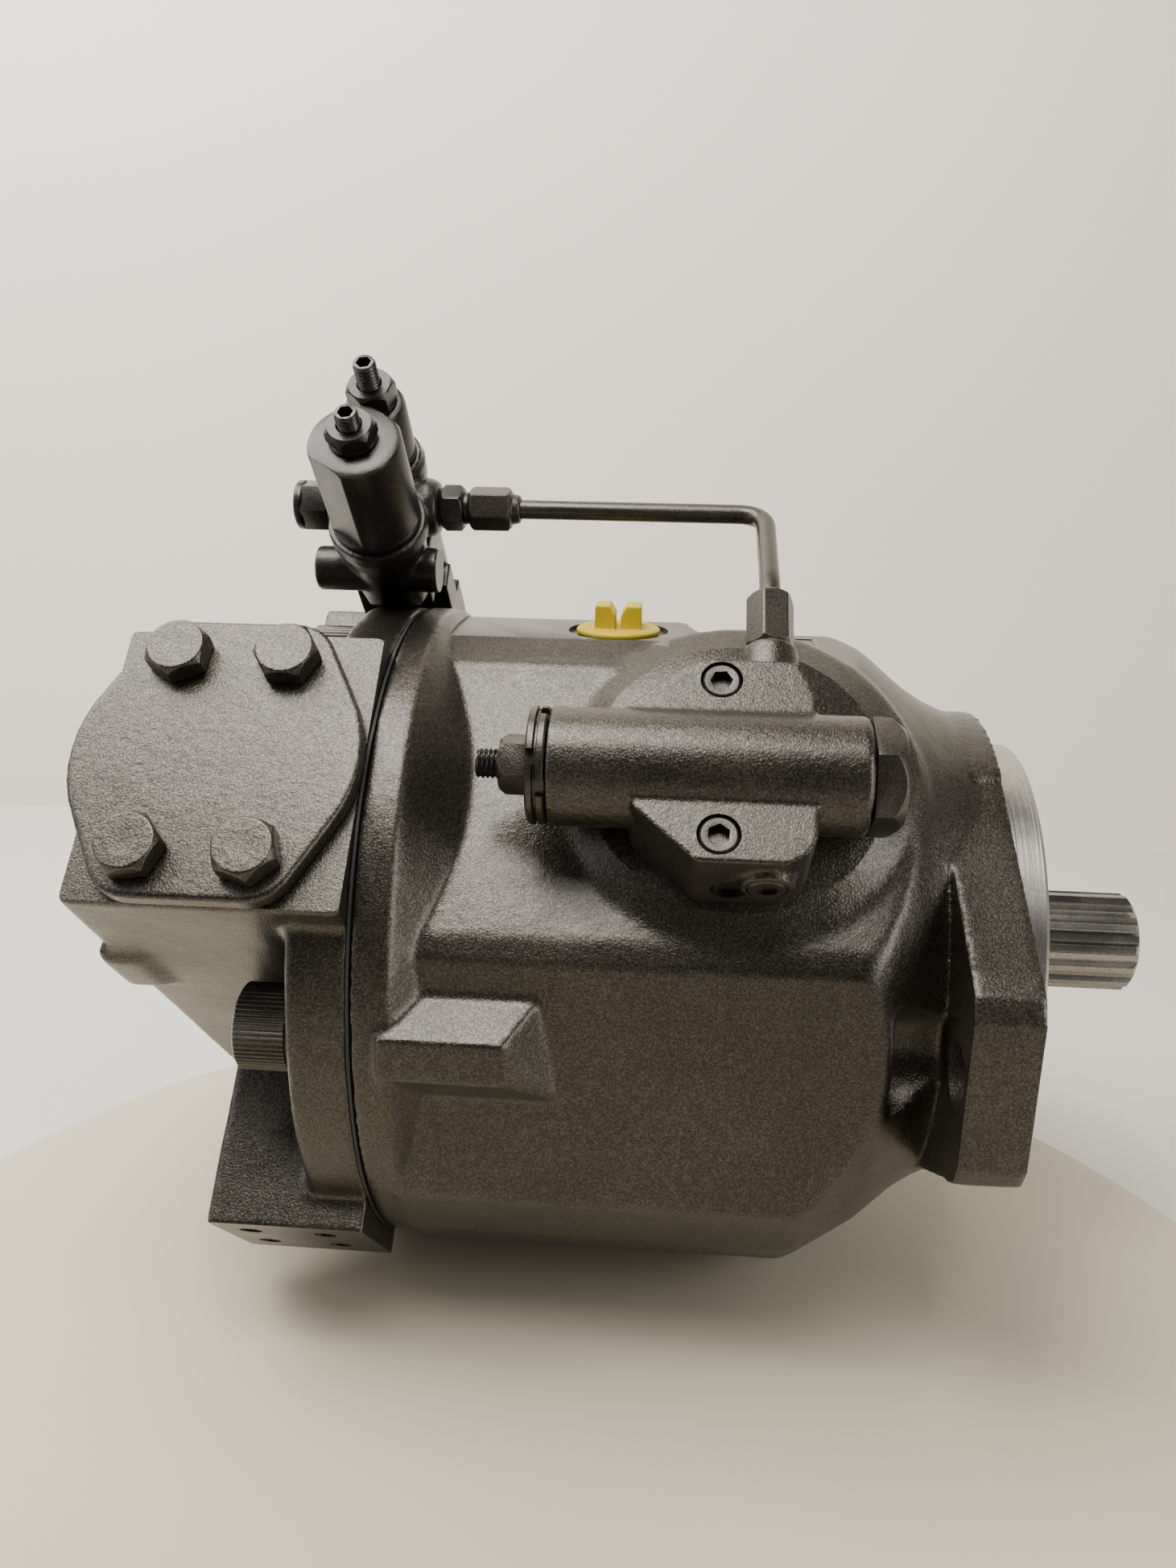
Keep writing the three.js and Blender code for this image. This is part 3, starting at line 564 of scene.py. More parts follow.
def front_housing():
    rear = -168  # inside the rim, where the body's plain solids end
    lug_reach = 103.2
    shoulder = lathe_x([(rear, 0), (rear, 112), (-62, 112), (-56, 103), (-36, 91), (-24, 81),
                        (-16, 76), (-9, 73), (-9, 0)])
    body = common(prism_x(body_outline(), rear, -9), shoulder)
    fillet = lathe_x([(rear, 0), (rear, RIM_R - 1.6), (RIM_FRONT, RIM_R - 1.6), (-160, 95),
                      (-156, 90.5), (-150, BODY_N), (-150, 0)], steps=160)
    boss = place(lathe([(68, 0), (68, 52.8), (82.3, 52.8), (92, 35.7), (92, 0)], 96),
                 SIDE, shift(-77, 9, 0))
    strip = frustum(
        [(rear, -30, 90.5), (rear, 32, 90.5), (-86, -30, 90.5), (-86, 32, 90.5)],
        [(rear, -14.5, 97.4), (rear, 17.5, 97.4), (-92, -14.5, 97.4), (-92, 17.5, 97.4)],
    )
    foot = frustum(
        [(-156, -38, -92), (-156, 38, -92), (-52, -38, -92), (-52, 38, -92)],
        [(-152, -34, FLOOR), (-152, 34, FLOOR), (-56, 34, FLOOR), (-56, -34, FLOOR)],
    )
    lugs = [
        frustum(
            [(rear, side * 90, -15.3), (rear, side * 90, 16.2), (-126, side * 90, 16.2),
             (-120, side * 90, -15.3)],
            [(rear, side * lug_reach, -3.6), (rear, side * lug_reach, 8.2),
             (-135, side * lug_reach, 8.2), (-135, side * lug_reach, -3.6)],
        )
        for side in (-1, 1)
    ]
    obj = raw("housing_casting", [body, boss])
    melt(obj, 1.3, 6)
    carve(obj, [rod_x(16, -34, 0, side * BOLT_Y) for side in (-1, 1)])
    rim = lathe_x([(HOUSING_END, 0), (HOUSING_END, RIM_R - 0.4), (HOUSING_END + 0.5, RIM_R),
                   (RIM_FRONT - 1.6, RIM_R), (RIM_FRONT, RIM_R - 1.6), (RIM_FRONT, 0)], steps=160)
    flange = prism_x(flange_outline(), -FLANGE_THICK, 0)
    merge(obj, [rim, fillet, flange, strip, foot, *lugs])
    melt(obj, 1.0, 5)
    cast_skin(obj)
    cavity = lathe_x([(-190, 0), (-190, 73.5), (-56, 73.5), (-46, 66), (-40, 62), (-40, 36.3),
                      (-18, 36.3), (-18, 21), (-2, 21), (-2, 27.3), (20, 27.3), (20, 0)])
    machined = [
        block((-300, HOUSING_END), ACROSS, ACROSS),
        block((-0.3, 40), ACROSS, ACROSS),
        block((-190, 40), ACROSS, (FLOOR - 20, FLOOR)),
        block((-163, -97), ACROSS, (97, 120)),
        cavity,
        place(block((-130, -28), (-45, 62), (PAD_FACE, 130)), SIDE),
        place(rod(9.6, 60, 130), shift(DRAIN_X, DRAIN_Y)),
        place(rod(15.5, 95.7, 130, 96), shift(DRAIN_X, DRAIN_Y)),
    ]
    machined += [rod_x(9, -32, 20, side * BOLT_Y) for side in (-1, 1)]
    machined += [rod_x(8, -190, -146, y, z) for y, z in LONG_SCREWS]
    machined += [place(rod(3.2, 78, 95), SIDE, shift(EAR_SCREW_X, w)) for w in EAR_SCREWS.values()]
    carve(obj, machined)
    settle(obj, PAINT, ["front_housing"])


def pilot_ring():
    """The bright turned pilot in front of the flange, with its chamfer and relief groove."""
    bore = 27.7
    profile = [(-0.3, bore), (-0.3, PILOT_R - 0.05), (0.4, PILOT_R - 0.6), (1.2, PILOT_R - 0.6),
               (1.8, PILOT_R), (11.0, PILOT_R), (12.0, PILOT_R - 1.0), (12.0, 28.3), (11.4, bore),
               (-0.3, bore)]
    obj = raw("pilot_ring", [lathe_x(profile, steps=180)])
    settle(obj, PILOT_STEEL)


def name_plate():
    """A blank plate with a raised border on the flat top of the housing."""
    base = 92.6
    plate = raw("name_plate", [block((-85, -50), (-28, 18), (base - 1.2, base + 0.5))])
    bevel(plate, 0.4)
    carve(plate, [block((-83.4, -51.6), (-26.4, 16.4), (base + 0.25, base + 2))])
    settle(plate, SMOOTH_PAINT)


# ---- port plate, gasket and long screws ----------------------------------------------------------
def port_plate():
    disc = lathe_x([(DISC_END, 0), (DISC_END, RIM_R - 1), (DISC_END + 1, RIM_R),
                    (PLATE_START + 1, RIM_R), (PLATE_START + 1, 0)], steps=160)
    ports = place(block((BLOCK_END, PLATE_START + 1), (-BLOCK_HALF, BLOCK_HALF),
                        (-PORT_FACE - 1, PORT_FACE + 1)), SIDE)
    pads = place(block((-222, PLATE_START + 1), (-108, 105), (-22, 25)), SIDE)
    boss = place(
        frustum(
            [(-254, -42, 38), (-238, -42, 38), (-238, -42, 65), (-254, -42, 65),
             (-254, -30, 38), (-238, -30, 38)],
            [(-253, -44.5, 41), (-243, -44.5, 41), (-243, -44.5, 62), (-253, -44.5, 62),
             (-253, -30, 41), (-253, -30, 62)],
        ),
        SIDE,
    )
    obj = raw("port_plate_casting", [disc, ports, pads, boss])
    melt(obj, 1.3, 1)
    carve(obj, [rod_x(14, -262, DISC_END, y, z, 48) for y, z in LONG_SCREWS])
    melt(obj, 1.0, 6)
    cast_skin(obj)
    machined = [
        block((PLATE_START, -150), ACROSS, ACROSS),
        place(block(PAST_PLATE, ACROSS, (PORT_FACE, 150)), SIDE),
        place(block(PAST_PLATE, ACROSS, (-150, -PORT_FACE)), SIDE),
        place(block(PAST_PLATE, (104, 150), (-50, 50)), SIDE),
        place(block(PAST_PLATE, (-150, -107), (-50, 50)), SIDE),
        place(rod(16, 20, 140, 96), SIDE, shift(PORT_X)),
        place(rod(25, -140, -20, 96), SIDE, shift(PORT_X)),
        place(lathe([(-140, 0), (-140, 31.5), (-98.2, 31.5), (-98.2, 28), (-98.2, 0)], 96),
              SIDE, shift(PORT_X)),
        rod_x(26.3, -196, -160, steps=96),
    ]
    machined += [rod_x(8.3, -204, -160, y, z) for y, z in LONG_SCREWS]
    for pressure_at, suction_at in zip(COVER_BOLTS, round_port(*SUCTION_BOLTS)):
        machined.append(place(rod(5.3, 84, 140), SIDE, shift(*pressure_at)))
        machined.append(place(rod(5.3, -140, -80), SIDE, shift(*suction_at)))
    for n in (-9, 12):
        for x in (-212, -190):
            machined.append(place(rod(3.4, -130, -90, 40), SIDE, shift(x, 0, n), LAY_W))
    carve(obj, machined)
    settle(obj, PAINT, ["port_plate"])


def gasket():
    def wavy(height, radius, angle):
        return radius + 0.18 * math.sin(23 * angle) * math.sin(7 * angle)

    start, end = HOUSING_END - 1.1, HOUSING_END - 0.3
    ring = lathe([(start, 74.5), (start, 100.8), (end, 100.8), (end, 74.5), (start, 74.5)], 240, wavy)
    obj = raw("gasket_ring", [place(ring, LAY_X)])
    settle(obj, RUBBER, ["housing_gasket"])


def knurled_screw(number, y, z):
    """A long socket screw: knurled head with a bevelled rim and a hexagon socket."""
    ridges = 56
    groove = 0.32
    knurl_start = -208.5
    knurl_end = -194.6
    least_r = 11.5

    def knurl(height, radius, angle):
        if radius < least_r or height < knurl_start or height > knurl_end:
            return radius
        return radius - groove * abs(math.sin(ridges * angle / 2))

    head = lathe([(-209.3, 0), (-209.3, 10.4), (-208.6, 11.5), (-208.4, 11.9), (-194.8, 11.9),
                  (-194.4, 11.3), (-193.3, 11.3), (-193.3, 7.6), (-150, 7.6), (-150, 0)], 448, knurl)
    at = shift(0, y, z)
    obj = raw(f"plate_screw_{number}", [place(head, at, LAY_X)])
    socket = prism(polygon(6, 14, 0.2), -212, -201)
    countersink = lathe([(-212, 0), (-212, 9.4), (-208.2, 7.4), (-208.2, 0)], 64)
    carve(obj, [place(socket, at, LAY_X), place(countersink, at, LAY_X)])
    settle(obj, SMOOTH_PAINT, [f"port_plate_screw_{number}"], sharp=30)


# ---- pressure port cover -------------------------------------------------------------------------
def port_cover():
    outline = round_outline([(PORT_X, 0, 39.5), *[(x, w, 12.5) for x, w in COVER_BOLTS]])
    inset = round_outline([(PORT_X, 0, 38.6), *[(x, w, 11.6) for x, w in COVER_BOLTS]])
    plate = frustum(
        [(x, w, PORT_FACE + 0.3) for x, w in outline] + [(x, w, 106.0) for x, w in outline],
        [(x, w, 106.8) for x, w in inset],
    )
    obj = raw("port_cover", [place(plate, SIDE)])
    melt(obj, 0.7, 2)
    cast_skin(obj, 0.12, 0.14)
    carve(obj, [place(block(PAST_PLATE, ACROSS, (90, PORT_FACE + 0.3)), SIDE)])
    carve(obj, [place(rod(5.4, 90, 112), SIDE, shift(x, w, 0)) for x, w in COVER_BOLTS])
    settle(obj, PAINT, ["side_port_cover"])


def hexagon_head(across, low, high, turn=0.0):
    """A hexagon whose upper rim is turned to a cone, as on a forged bolt or a nut."""
    radius = across / math.sqrt(3)
    rim = lathe([(low, 0), (low, radius), (high - 0.13 * across, radius + 0.02),
                 (high, 0.475 * across), (high, 0)], 96)
    return common(prism(polygon(6, across, turn), low - 1e-3, high + 1), rim)


def nut_shape(across, low, high, turn=0.0):
    """A hexagon turned to a cone at both ends."""
    radius = across / math.sqrt(3)
    rim = lathe([(low, 0), (low, 0.475 * across), (low + 0.1 * across, radius + 0.02),
                 (high - 0.1 * across, radius + 0.02), (high, 0.475 * across), (high, 0)], 96)
    return common(prism(polygon(6, across, turn), low - 1, high + 1), rim)


def cover_bolt(number, x, w, turn):
    head = hexagon_head(16, 107.3, 113.5, turn)
    washer = lathe([(106.95, 0), (106.95, 7.9), (107.9, 7.9), (107.9, 0)], 64)
    dish = lathe([(113.1, 0), (113.6, 5.2), (114, 5.2), (114, 0)], 64)
    obj = raw(f"cover_bolt_{number}", [place(s, SIDE, shift(x, w, 0)) for s in (head, washer)])
    melt(obj, 0.3, 2)
    carve(obj, [place(dish, SIDE, shift(x, w, 0))])
    cast_skin(obj, 0.05, 0.1)
    merge(obj, [place(rod(4.9, 88, 107.5, 40), SIDE, shift(x, w, 0))])
    settle(obj, PAINT, [f"side_cover_bolt_{number}"])


# ---- yellow shipping plug ------------------------------------------------------------------------
def drain_plug():
    at = shift(DRAIN_X, DRAIN_Y)
    cap = place(lathe([(83, 0), (83, 8.6), (84, 9.1), (96.2, 9.1), (96.2, 12.6), (96.6, 13),
                       (97.6, 13), (98.2, 12.2), (98.3, 9.6), (98, 9.3), (98, 0)], 96), at)
    obj = raw("yellow_plug", [cap])
    merge(obj, [place(wing, at) for wing in plug_wings()])
    melt(obj, 0.28, 2)
    carve(obj, [place(rod(7.2, 80, 95, 48), at)])
    settle(obj, YELLOW, ["drain_plug"], body="drain_cap")


def plug_wings():
    """Two grip lugs with a narrow slot between them that opens out at the top."""
    wings = []
    upright = Matrix(((1, 0, 0, 0), (0, 0, 1, 0), (0, 1, 0, 0), (0, 0, 0, 1)))
    for side in (-1, 1):
        outline = [(side * 0.8, 97), (side * 7.2, 97), (side * 7.0, 105.3), (side * 2.6, 105.3),
                   (side * 0.9, 102.4)]
        wings.append(place(prism(outline, -5.6, 5.6), upright))
    return wings


# ---- threads and tubes ---------------------------------------------------------------------------
def thread(radius, pitch, start, end):
    """A stud along Z with a real helical thread between its bevelled ends."""
    depth = 0.55 * pitch
    bevelled = 1.2
    rows = max(2, int((end - start) / (pitch / 8)))
    heights = [start + (end - start) * i / rows for i in range(rows + 1)]

    def helix(height, r, angle):
        edge = min(height - start, end - height)
        phase = (height / pitch + angle / (2 * math.pi)) % 1
        groove = depth * (1 - abs(2 * phase - 1))
        if edge >= bevelled:
            return radius - groove
        return min(radius - groove, radius - depth * 0.9 + edge * 0.9)

    return lathe([(start, 0), *[(h, radius) for h in heights], (end, 0)], 40, helix)


def tube(path, radius):
    """A solid rod along a path, its section carried along without twist."""
    steps = 32
    points, faces = [], []
    normal = None
    for i, centre in enumerate(path):
        along = (path[min(i + 1, len(path) - 1)] - path[max(i - 1, 0)]).normalized()
        if normal is None:
            normal = along.orthogonal().normalized()
        normal = (normal - along * normal.dot(along)).normalized()
        other = along.cross(normal)
        for k in range(steps):
            angle = 2 * math.pi * k / steps
            points.append(centre + (normal * math.cos(angle) + other * math.sin(angle)) * radius)
    for i in range(len(path) - 1):
        for k in range(steps):
            j = (k + 1) % steps
            faces.append([i * steps + k, i * steps + j, (i + 1) * steps + j, (i + 1) * steps + k])
    faces.append(list(range(steps))[::-1])
    faces.append([(len(path) - 1) * steps + k for k in range(steps)])
    return points, faces


# ---- power valve ---------------------------------------------------------------------------------
ON_POWER_AXIS = SIDE @ shift(0, 0, POWER_N)


def power_valve():
    at_port_plug = shift(PORT_PLUG[0], 0, PORT_PLUG[1]) @ LAY_W.inverted()
    barrel = place(lathe([(-126, 0), (-126, POWER_R), (-46, POWER_R), (-44.6, POWER_R - 1.2),
                          (-44.6, 0)], 96), ON_POWER_AXIS, LAY_X)
    upper = prism([(-106.5, 8), (-106.5, 13.9), (-89.9, 28.1), (-77, 29), (-62.6, 28.3),
                   (-58.6, 19.4), (-58.6, 8)], 87, EAR_TOP)
    lower = prism([(-105, -8), (-104, -15), (-88, EAR_FOOT), (-66, EAR_FOOT), (-60.5, -26),
                   (-58.3, -21), (-58.3, -8)], 87, EAR_TOP)
    foot = block((-105, -58.6), (-14, 14), (87, POWER_N))
    pipe_boss = place(lathe([(26, 0), (26, 8.6), (40.6, 7.7), (41.6, 7), (41.6, 4.6), (45.4, 4.6),
                             (45.4, 0)], 64), shift(PIPE_X, 0, PIPE_FOOT_N), LAY_W)
    plug_boss = place(lathe([(27, 0), (27, 7.4), (31.3, 6.8), (31.3, 0)], 64), at_port_plug)
    obj = raw("power_valve_casting", [barrel, *[place(s, SIDE) for s in
                                                (upper, lower, foot, pipe_boss, plug_boss)]])
    melt(obj, 0.6, 5)
    cast_skin(obj, 0.15, 0.13)
    cuts = [
        place(block((-140, -30), (-60, 70), (60, PAD_FACE + 0.3)), SIDE),
        block((-140, -126), (-200, 100), (-100, 200)),
        block((-44.6, -30), (-200, 100), (-100, 200)),
        place(rod(9.3, -130, -50), ON_POWER_AXIS, LAY_X),
        place(rod(12.3, -56, -40), ON_POWER_AXIS, LAY_X),
        place(rod(3.4, 7, 50, 40), SIDE, shift(PIPE_X, 0, PIPE_FOOT_N), LAY_W),
        place(rod(5, 27, 32, 48), SIDE, shift(-79, 0, 97.5), LAY_W.inverted()),
        place(rod(5.2, 30, 33, 48), SIDE, at_port_plug),
    ]
    for w in EAR_SCREWS.values():
        cuts.append(place(rod(3.3, 80, 120, 40), SIDE, shift(EAR_SCREW_X, w)))
        cuts.append(place(rod(5.5, 108.6, 120, 64), SIDE, shift(EAR_SCREW_X, w)))
    carve(obj, cuts)
    settle(obj, PAINT, ["power_valve_body"])


def port_screw():
    """The socket plug in the lower wall of the power valve."""
    at = SIDE @ shift(PORT_PLUG[0], 0, PORT_PLUG[1]) @ LAY_W.inverted()
    plug = lathe([(30, 0), (30, 5.0), (31.1, 5.0), (31.5, 4.5), (31.5, 0)], 64)
    obj = raw("valve_port_plug", [place(plug, at)])
    carve(obj, [place(prism(polygon(6, 5, 0.3), 30.4, 33), at)])
    settle(obj, SMOOTH_PAINT)


def power_ring_nuts():
    """Two thin ring nuts with a gap between them, each with four notches for a hook wrench."""
    outer_r = 15.4
    bore = 6.4
    nut = lathe([(-131.2, bore), (-131.2, 14.8), (-130.7, outer_r), (-129.4, outer_r),
                 (-129.0, 14.1), (-128.6, 14.1), (-128.2, outer_r), (-126.8, outer_r),
                 (-126.3, 14.8), (-126.3, bore), (-131.2, bore)], 128)
    rings = raw("ring_nuts", [place(nut, ON_POWER_AXIS, LAY_X)])
    notches = []
    for i in range(4):
        turn = Matrix.Rotation(math.radians(20 + 90 * i), 4, "X")
        notches.append(place(block((-133, -128.9), (-2, 2), (13.4, 20)), ON_POWER_AXIS, turn))
        other = Matrix.Rotation(math.radians(52 + 90 * i), 4, "X")
        notches.append(place(block((-128.7, -125), (-2, 2), (13.6, 20)), ON_POWER_AXIS, other))
    carve(rings, notches)
    settle(rings, SMOOTH_PAINT, ["power_valve_ring_nut"], sharp=30)


def power_lock_nut():
    about = Matrix.Rotation(math.pi, 4, "Z")
    nut = raw("power_lock_nut", [place(hexagon_head(14, 131.7, 139, 0.25), ON_POWER_AXIS, about,
                                       LAY_X)])
    carve(nut, [place(rod(4.3, -150, -120, 40), ON_POWER_AXIS, LAY_X)])
    bevel(nut, 0.18)
    settle(nut, SMOOTH_PAINT, ["power_valve_lock_nut"], sharp=30)


def power_stud():
    """The threaded adjusting stud and the spring plate on its inner end."""
    stud = thread(4, 1.25, -145.2, -112)
    spring_plate = lathe([(-112.1, 0), (-112.1, 8.9), (-104, 8.9), (-104, 0)], 64)
    obj = raw("power_stud", [place(s, ON_POWER_AXIS, LAY_X) for s in (stud, spring_plate)])
    settle(obj, BLACKED, ["power_valve_stud"], body="power_stud", sharp=50)


def power_end_plug():
    plug = raw("power_end_plug", [place(hexagon_head(27, -44.3, -36.2, 0.12), ON_POWER_AXIS, LAY_X)])
    bevel(plug, 0.35)
    merge(plug, [place(rod(12, -54, -44.4), ON_POWER_AXIS, LAY_X)])
    settle(plug, SMOOTH_PAINT, ["power_valve_end_plug"], sharp=30)


def ear_screw(name, turn):
    """A socket screw through one ear of the power valve."""
    head = lathe([(79, 0), (79, 2.9), (108.9, 2.9), (108.9, 5), (114.1, 5), (114.7, 4.4),
                  (114.7, 0)], 64)
    at = SIDE @ shift(EAR_SCREW_X, EAR_SCREWS[name])
    screw = raw(f"ear_screw_{name}", [place(head, at)])
    carve(screw, [place(prism(polygon(6, 5.2, turn), 111.5, 117), at),
                  place(lathe([(114.1, 0), (114.8, 3.5), (115, 3.5), (115, 0)], 48), at)])
    settle(screw, SMOOTH_PAINT, [f"power_valve_screw_{name}"], sharp=30)


# ---- pilot pipe ----------------------------------------------------------------------------------
ON_TOP_PIPE = SIDE @ shift(0, PIPE_TOP_W, PIPE_TOP_N)


def pipe_path():
    """Straight out of its nut, a slight knee, then a bend to run back level."""
    low = Vector((PIPE_X, 48, PIPE_FOOT_N))
    knee = Vector((PIPE_X, 63, PIPE_FOOT_N))
    corner = Vector((PIPE_X, PIPE_TOP_W, PIPE_TOP_N))
    end = Vector((-158, PIPE_TOP_W, PIPE_TOP_N))
    path = [low]
    for before, at, after, size in ((low, knee, corner, 7), (knee, corner, end, 9)):
        first = at + (before - at).normalized() * size
        last = at + (after - at).normalized() * size
        for i in range(13):
            t = i / 12
            path.append(first * (1 - t) ** 2 + at * (2 * t * (1 - t)) + last * t ** 2)
    return [*path, end]


def pilot_pipe(path):
    obj = raw("pilot_tube", [place(tube(path, PIPE_R), SIDE)])
    settle(obj, SMOOTH_PAINT, ["pilot_pipe"])


def lower_pipe_nut(path):
    at = SIDE @ shift(PIPE_X, 42, PIPE_FOOT_N) @ LAY_W
    nut = raw("lower_pipe_nut", [
        place(nut_shape(12, 0, 17.2, 0.2), at),
        place(lathe([(16.8, 0), (16.8, 5.0), (18.6, 4.1), (18.6, 0)], 48), at),
    ])
    melt(nut, 0.3, 2)
    carve(nut, [place(tube(path, PIPE_R + 0.3), SIDE), place(rod(4.9, -2, 6, 48), at)])
    settle(nut, SMOOTH_PAINT, ["pipe_nut_lower"], sharp=30)


def upper_pipe_nut():
    at = ON_TOP_PIPE @ LAY_X
    nut = raw("upper_pipe_nut", [
        place(nut_shape(12, -161.4, -148.2, 0.05), at),
        place(lathe([(-148.6, 0), (-148.6, 5.0), (-145.8, 4.4), (-145.3, 3.9), (-145.3, 0)], 48), at),
    ])
    melt(nut, 0.3, 2)
    carve(nut, [place(rod(3.35, -165, -140, 40), at)])
    settle(nut, SMOOTH_PAINT, ["pipe_nut_upper"], sharp=30)


def pipe_fitting():
    """The short hexagon fitting between the upper nut and the control valve."""
    at = ON_TOP_PIPE @ LAY_X
    fitting = raw("pipe_fitting_body", [
        place(nut_shape(12.6, -170.4, -163.2, 0.3), at),
        place(lathe([(-163.4, 0), (-163.4, 5), (-161.7, 5), (-161.7, 0)], 48), at),
    ])
    bevel(fitting, 0.2)
    settle(fitting, DARK_PAINT, ["pipe_fitting"], sharp=30)


# ---- control valve -------------------------------------------------------------------------------
def control_valve():
    left, right = VALVE_X - 20, VALVE_X + 12.5
    on_side = [
        block((left, right), (102, 118.6), (-20.6, 26.6)),
        block((left, right), (102, 112.6), (-20.6, 43.6)),
        place(rod(10.6, 20, 96, 64), shift(VALVE_X, REAR_CAN_W)),
        place(lathe([(86, 0), (86, 11), (93, 11.4), (96, 9.8), (96, 0)], 64),
              shift(VALVE_X, REAR_CAN_W)),
        place(lathe([(54, 0), (54, 7), (60, 10.5), (70, 12), (84, 13.3), (90, 15.2), (94.6, 15.2),
                     (94.6, 0)], 96),
              shift(VALVE_X, FRONT_CAN_W)),
        block((VALVE_X - 11, VALVE_X + 11), (FRONT_CAN_W, 113), (52, 70)),
        block((VALVE_X - 8, VALVE_X + 8), (FRONT_CAN_W + 10, 112), (56, 88)),
        place(lathe([(VALVE_X, 0), (VALVE_X, 9.4), (-174, 9.2), (-171.4, 8.2), (-170.7, 6.5),
                     (-170.7, 0)], 64), shift(0, PIPE_TOP_W, PIPE_TOP_N), LAY_X),
        place(rod(7.6, VALVE_X - 19, VALVE_X, 64), shift(0, PIPE_TOP_W, PIPE_TOP_N), LAY_X),
        place(rod(7, VALVE_X - 21.2, VALVE_X + 17.2, 64), shift(0, FRONT_CAN_W - 5, CROSS_N), LAY_X),
    ]
    obj = raw("control_valve_casting", [place(s, SIDE) for s in on_side])
    melt(obj, 0.6, 5)
    cast_skin(obj, 0.12, 0.1)
    cuts = [
        place(block((-230, -150), (80, 104.3), (-50, 25.3)), SIDE),
        rod_x(RIM_R + 0.6, -230, -150, steps=160),
        place(rod(20, FRONT_CAN_N - 0.3, 120, 64), SIDE, shift(VALVE_X, FRONT_CAN_W - 5)),
        place(rod(8.3, 66, 98, 48), SIDE, shift(VALVE_X, FRONT_CAN_W)),
        place(rod(7.3, 20, 110, 48), SIDE, shift(VALVE_X, REAR_CAN_W)),
        place(rod(11.6, 96, 120, 64), SIDE, shift(VALVE_X, REAR_CAN_W)),
    ]
    carve(obj, cuts)
    settle(obj, DARK_PAINT, ["control_valve_body"])


def valve_end_plug():
    """The hexagon plug at the far end of the pipe's bore."""
    at = ON_TOP_PIPE @ Matrix.Rotation(math.pi, 4, "Z") @ LAY_X
    plug = raw("valve_end_plug", [
        place(prism(polygon(6, 14, 0.1), 206.2, 214.4), at),
        place(lathe([(214.3, 0), (214.3, 7.7), (216.2, 7.7), (216.8, 7.0), (216.8, 0)], 64), at),
    ])
    bevel(plug, 0.25)
    settle(plug, DARK_PAINT, sharp=30)


def spring_can(name, r, w, low, high, flats, node):
    """A round can with a pair of wrench flats."""
    body = lathe([(low, 0), (low, r), (low + 1.4, r), (low + 1.8, r - 0.5), (low + 2.2, r - 0.1),
                  (high - 1.6, r - 0.1), (high - 0.5, r - 0.7), (high, r - 2), (high, 0)], 128)
    turn = Matrix.Rotation(math.radians(FLAT_TURN), 4, "Z")
    trim = place(block((-flats / 2, flats / 2), (-20, 20), (low + 2.4, high + 1)), turn)
    below = rod(r + 1, low - 1, low + 2.41)
    shape = raw(name, [common(body, trim)])
    carve(shape, [common(body, below)], "UNION")
    at = SIDE @ shift(VALVE_X, w, 0)
    shape.data.transform(at)
    carve(shape, [place(rod(3.8, high - 6, high + 2, 40), at), place(rod(5.6, low - 2, high - 4), at)])
    bevel(shape, 0.22)
    settle(shape, DARK_PAINT, [node], sharp=30)


def can_top(name, w, low, height, base, tip, body):
    """Lock nut with its washer face, and the threaded adjusting screw with a hexagon socket."""
    at = SIDE @ shift(VALVE_X, w, 0)
    nut = raw(f"{name}_nut", [place(hexagon_head(13, low + 1.0, low + height, 0.3), at),
                              place(lathe([(low, 0), (low, 7.0), (low + 0.7, 7.1), (low + 1.3, 6.4),
                                           (low + 1.3, 0)], 64), at)])
    carve(nut, [place(rod(3.8, low - 1, low + height + 1, 40), at)])
    bevel(nut, 0.15)
    settle(nut, DARK_PAINT, [f"can_lock_nut_{name}"], sharp=30)
    screw = raw(f"{name}_screw", [place(thread(3.45, 1.25, base, tip), at)])
    carve(screw, [place(prism(polygon(6, 4, 0.2), tip - 3.5, tip + 1), at)])
    settle(screw, BLACKED, [f"adjusting_screw_{name}"], body=body, sharp=50)


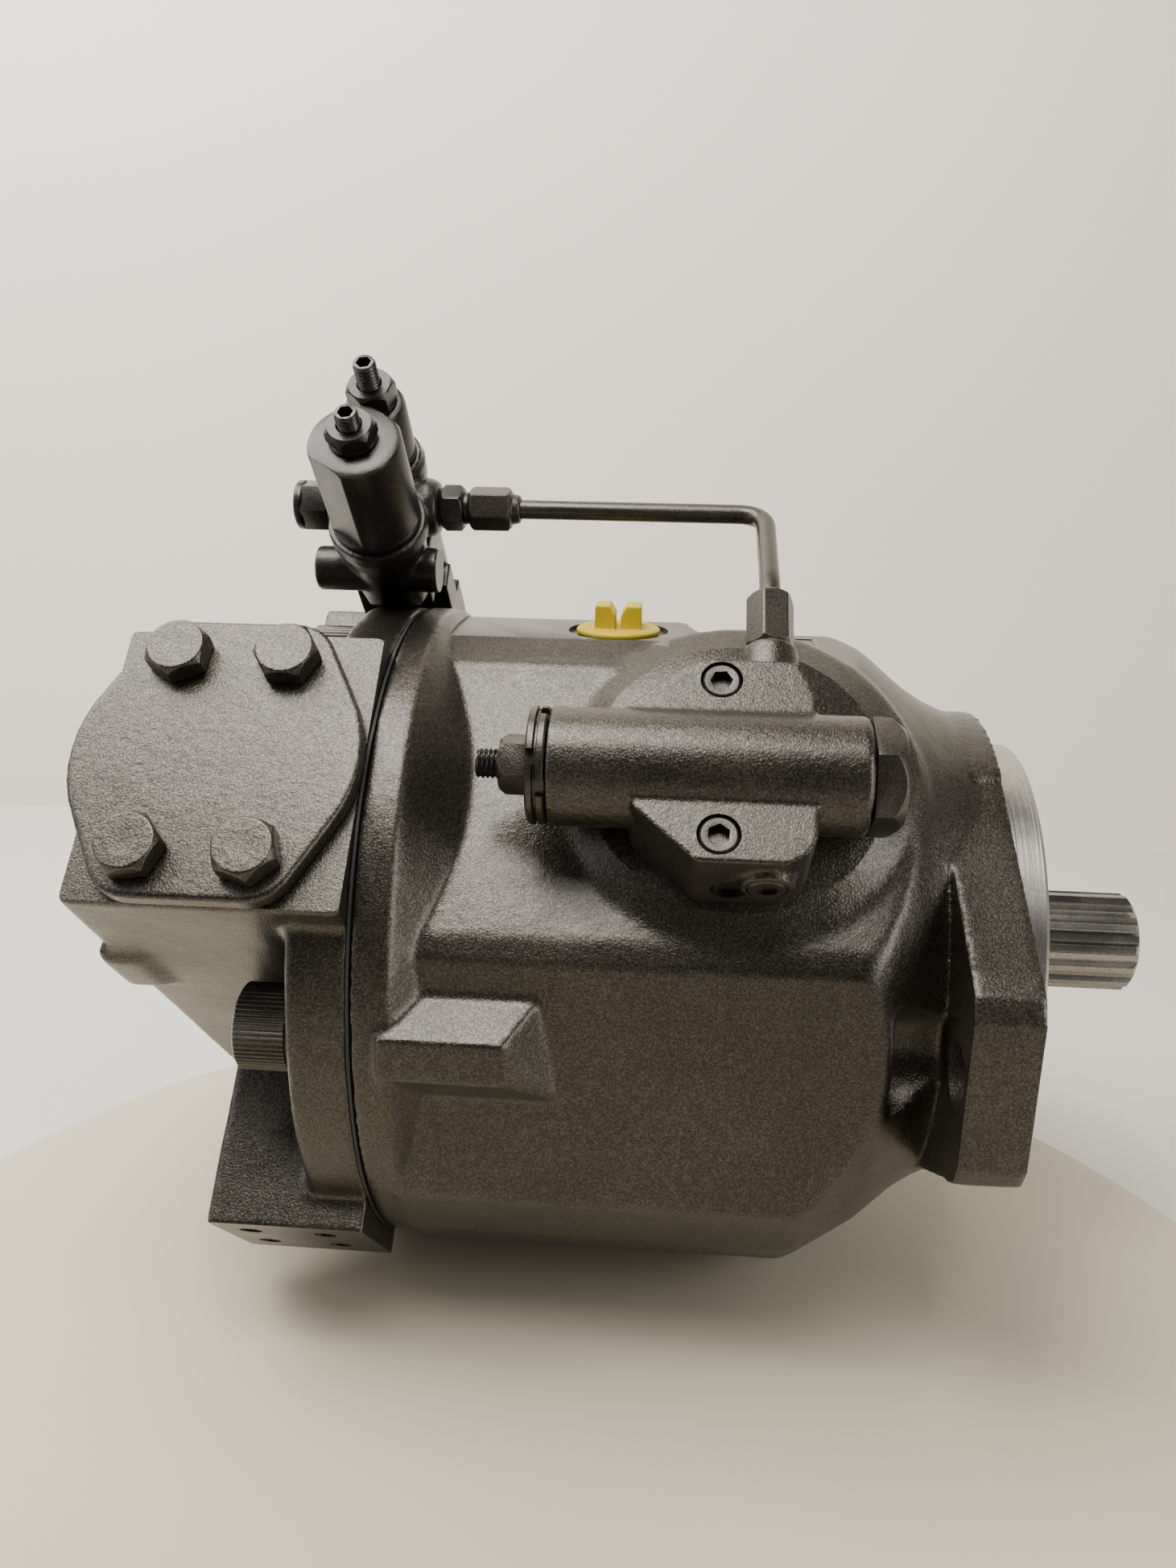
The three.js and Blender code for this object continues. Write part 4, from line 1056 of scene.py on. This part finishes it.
# ---- shaft end -----------------------------------------------------------------------------------
def shaft_end():
    """The splined end: fourteen teeth with flat tops and rounded roots, bevelled at the tip."""
    teeth = 14
    tip = 15.6
    root = 13.7
    start = 20.3
    pitch = 2 * math.pi / teeth
    tooth = [(-0.30, root + 0.15), (-0.255, root + 0.6), (-0.175, tip - 0.12), (-0.15, tip),
             (0.0, tip), (0.15, tip), (0.175, tip - 0.12), (0.255, root + 0.6),
             (0.30, root + 0.15), (0.4, root), (0.6, root)]
    outline = []
    for i in range(teeth):
        middle = 2 * math.pi * i / teeth
        for share, radius in tooth:
            outline.append((radius * math.cos(middle + share * pitch),
                            radius * math.sin(middle + share * pitch)))
    bar = prism(outline, start, SHAFT_TIP)
    rim = lathe([(start, 0), (start, 16), (SHAFT_TIP - 2.0, 16), (SHAFT_TIP, 13.4), (SHAFT_TIP, 0)],
                180)
    obj = raw("spline_end", [place(common(bar, rim), LAY_X)])
    carve(obj, [rod_x(4.2, SHAFT_TIP - 12, SHAFT_TIP + 2),
                lathe_x([(SHAFT_TIP - 2, 0), (SHAFT_TIP + 1, 7.2), (SHAFT_TIP + 3, 7.2),
                         (SHAFT_TIP + 3, 0)])])
    journal = lathe_x([(-198, 0), (-198, 11.5), (-197, 12.5), (-172, 12.5), (-172, 14), (-160, 14),
                       (-160, 16), (-113, 16), (-113, 15), (-44, 15), (-44, 20), (-39, 20),
                       (-39, 17.5), (14.4, 17.5), (15, 16.9), (15, 15.4), (17.5, 14.6), (20.2, 13.5),
                       (20.3, 0)])
    merge(obj, [journal])
    settle(obj, BARE, ["drive_shaft"], body="rotating_group", sharp=25)


def inner_parts():
    """The pieces inside keep their CAD shape and take a machined finish."""
    finishes = {"bare_steel": BARE, "bronze": BRONZE, "rubber": RUBBER, "body_paint": PAINT}
    for entry in frame["record"]["subparts"]:
        node = frame["nodes"][entry["node"]]
        material = finishes.get(entry["material_slot"])
        if material and not node.hide_render:
            node.data.materials.clear()
            node.data.materials.append(material)


front_housing()
pilot_ring()
name_plate()
port_plate()
gasket()
for index, (screw_y, screw_z) in enumerate(LONG_SCREWS):
    knurled_screw(index + 1, screw_y, screw_z)
port_cover()
for index, (bolt_x, bolt_w) in enumerate(COVER_BOLTS):
    cover_bolt(index + 1, bolt_x, bolt_w, 0.15 + 0.31 * index)
drain_plug()
power_valve()
port_screw()
power_ring_nuts()
power_lock_nut()
power_stud()
power_end_plug()
ear_screw("upper", 0.1)
ear_screw("lower", 0.45)
route = pipe_path()
pilot_pipe(route)
lower_pipe_nut(route)
upper_pipe_nut()
pipe_fitting()
control_valve()
valve_end_plug()
spring_can("front_can", r=13.6, w=FRONT_CAN_W, low=FRONT_CAN_N, high=FRONT_CAN_END, flats=24,
           node="spring_can_front")
spring_can("rear_can", r=9.2, w=REAR_CAN_W, low=REAR_CAN_N, high=REAR_CAN_END, flats=16.6,
           node="spring_can_rear")
can_top("front", FRONT_CAN_W, FRONT_CAN_END + 0.3, height=5.6, base=112, tip=139.5,
        body="front_screw")
can_top("rear", REAR_CAN_W, REAR_CAN_END + 0.3, height=7, base=101, tip=133.4, body="rear_screw")
shaft_end()
inner_parts()
